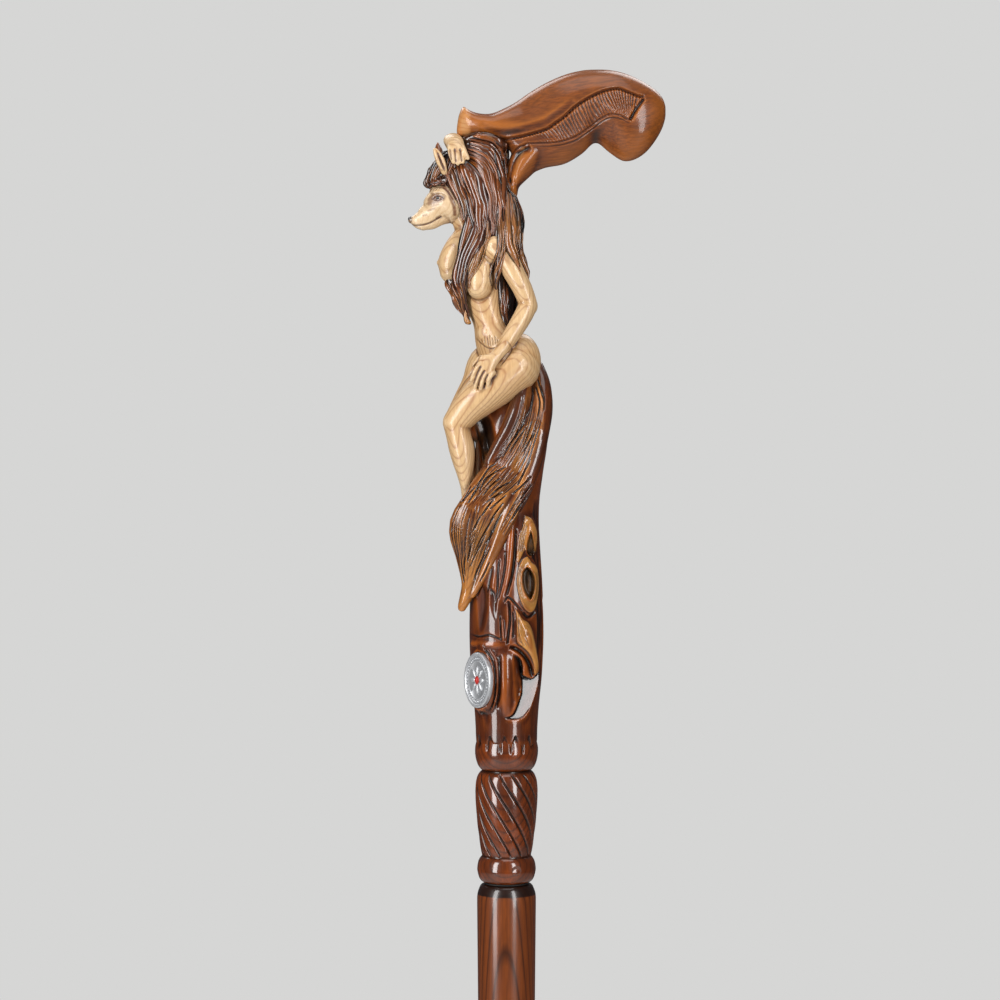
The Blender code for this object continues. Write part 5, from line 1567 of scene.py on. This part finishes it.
rubberLook = {"colour": (24, 24, 25), "other": (34, 34, 35), "roughness": 0.62, "bump": 0.4}
ferruleOutline = [(4.5, 0), (5.2, 1.4), (7.4, 1.4), (8.1, 0), (11, 0), (11.7, 1.4), (13.9, 1.4), (14.6, 0), (18, 0),
                  (18.8, 0.6), (19, 1.4), (19, 4.6), (18.2, 6.6), (17, 9), (16, 13), (15.6, 16), (15.2, 20.6),
                  (15.5, 21.4), (16, 22), (16.1, 23.5), (16, 25), (15.3, 25.8), (15, 26.6), (14.8, 34), (14.6, 42),
                  (15.3, 42.8), (15.5, 43.4), (15.5, 47), (15.1, 47.7), (14.4, 48), (11.6, 48), (11.3, 47.6),
                  (11.3, 10)]
place(turn("rubberFerrule", ferruleOutline), "ferrule", ["ferrule"],
      plainMaterial("blackRubber", rubberLook))

fibreLook = {"colour": (22, 20, 19), "other": (38, 34, 31), "roughness": 0.7, "bump": 0.3}
washerOutline = [(5.6, 499.6), (11.4, 499.6), (11.6, 499.75), (11.6, 500.25), (11.4, 500.4), (5.6, 500.4), (5.6, 499.6)]
place(turn("fibreWasher", washerOutline, 64, ring=True), "washer", ["joint_washer"],
      plainMaterial("blackFibre", fibreLook))


# Finishes for the CAD nodes that stay

plugLook = dict(shaftLook, wood=(104, 50, 18), ring=(30, 13, 6), ringGap=0.9, ringStrength=1.0, coat=0.4,
                pith=(3.6, 0, 506), along=(0.3, 1, 0.1))
brassLook = {"colour": (200, 160, 88), "other": (182, 140, 70), "metallic": 1.0, "roughness": 0.3}
beechLook = dict(shaftLook, wood=(214, 178, 134), ring=(180, 138, 94), stain=(196, 156, 110), ringStrength=0.3,
                 coat=0)
plainMaterial("turnedBrass", brassLook)
woodMaterial("plugAsh", plugLook)
woodMaterial("beechDowel", beechLook)
hiddenFinish = {
    "threaded_bush": "turnedBrass", "cross_pin_plug": "plugAsh", "grip_dowel_front": "beechDowel",
    "grip_dowel_rear": "beechDowel", "stud_cross_pin": "zincSteel", "ferrule_disc": "zincSteel",
    "carved_block": "redStumpAsh", "grip": "carvedGripAsh", "shaft": "stainedShaftAsh", "medallion": "agedPewter",
    "joint_stud": "zincSteel", "joint_washer": "blackFibre", "ferrule": "blackRubber",
}
for nodeName, finish in hiddenFinish.items():
    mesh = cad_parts[nodeName].data
    mesh.materials.clear()
    mesh.materials.append(bpy.data.materials[finish])
print("finished the CAD nodes that stay")


# Floor, lights and camera

stageLook = {"floor": (196, 196, 194), "floorRadius": 1.6, "backdrop": (214, 214, 213), "ambient": (62, 63, 66),
             "floorGlow": 0.75, "floorDrop": 39.5}      # the floor is low enough for the pulled ferrule to clear it


def makeStage():
    bpy.ops.mesh.primitive_circle_add(vertices=128, radius=stageLook["floorRadius"], fill_type="NGON",
                                      location=(0, 0, -stageLook["floorDrop"] * mm))
    bpy.ops.object.transform_apply(location=True)
    floor = bpy.context.object
    floor.name = "studioFloor"
    material, tree, shader = newShader("paleFloor", {"roughness": 0.9})
    shader.inputs["Base Color"].default_value = srgb(*stageLook["floor"])
    glow = addNode(tree, "Emission", None, {"Color": srgb(*stageLook["backdrop"])}).outputs[0]
    seen = maths(tree, "MULTIPLY", addNode(tree, "LightPath").outputs["Is Camera Ray"], stageLook["floorGlow"])
    mix = addNode(tree, "MixShader", None, {0: seen, 1: shader.outputs[0], 2: glow})
    tree.links.new(mix.outputs[0], tree.nodes["Material Output"].inputs["Surface"])
    floor.data.materials.append(material)


# distance in m, the others in mm
cameraView = {"distance": 1.3, "aimAcross": -3.36, "aimUp": 697.7, "frameHeight": 517.0, "sensor": 36}


def makeCamera():
    aim = drawn(cameraView["aimAcross"], 0, cameraView["aimUp"])
    towardsEye = sightAxes(photoAzimuth)[1]
    bpy.ops.object.camera_add(location=aim + towardsEye * cameraView["distance"])
    camera = bpy.context.object
    camera.name = "photoCamera"
    camera.rotation_euler = towardsEye.to_track_quat("Z", "Y").to_euler()
    camera.data.sensor_width = camera.data.sensor_height = cameraView["sensor"]
    camera.data.lens = cameraView["sensor"] * cameraView["distance"] / (cameraView["frameHeight"] * mm)
    camera.data.clip_start = 0.02
    bpy.context.scene.camera = camera


# degrees round and up, and metres, from lampCentre; power in watts
lampCentre = Vector((0, 0, 0.72))
lampLook = {
    "left": {"azimuth": -66, "elevation": 8, "away": 1.3, "wide": 0.4, "tall": 1.4, "power": 17},
    "right": {"azimuth": 11, "elevation": 8, "away": 1.3, "wide": 0.3, "tall": 1.3, "power": 12},
    "top": {"azimuth": -10, "elevation": 70, "away": 1.2, "wide": 0.8, "tall": 0.8, "power": 4},
    "back": {"azimuth": 130, "elevation": 50, "away": 1.4, "wide": 0.5, "tall": 0.9, "power": 6},
    "far": {"azimuth": 195, "elevation": 50, "away": 1.4, "wide": 0.5, "tall": 0.9, "power": 6},
}


def makeLamps():
    for name, lamp in lampLook.items():
        a, e = math.radians(lamp["azimuth"]), math.radians(lamp["elevation"])
        out = Vector((math.sin(a) * math.cos(e), -math.cos(a) * math.cos(e), math.sin(e)))
        bpy.ops.object.light_add(type="AREA", location=lampCentre + out * lamp["away"])
        light = bpy.context.object
        light.name = name + "Softbox"
        light.rotation_euler = out.to_track_quat("Z", "Y").to_euler()
        light.data.shape = "RECTANGLE"
        light.data.size = lamp["wide"]
        light.data.size_y = lamp["tall"]
        light.data.energy = lamp["power"]
    world = bpy.data.worlds.new("studioWorld")
    world.use_nodes = True
    bpy.context.scene.world = world
    tree = world.node_tree
    seen = addNode(tree, "LightPath").outputs["Is Camera Ray"]
    colour = mixColour(tree, seen, srgb(*stageLook["ambient"]), srgb(*stageLook["backdrop"]))
    tree.links.new(colour, tree.nodes["Background"].inputs["Color"])


makeStage()
makeCamera()
makeLamps()
bpy.context.scene.view_settings.view_transform = "Standard"
print("stage, camera and lamps set")
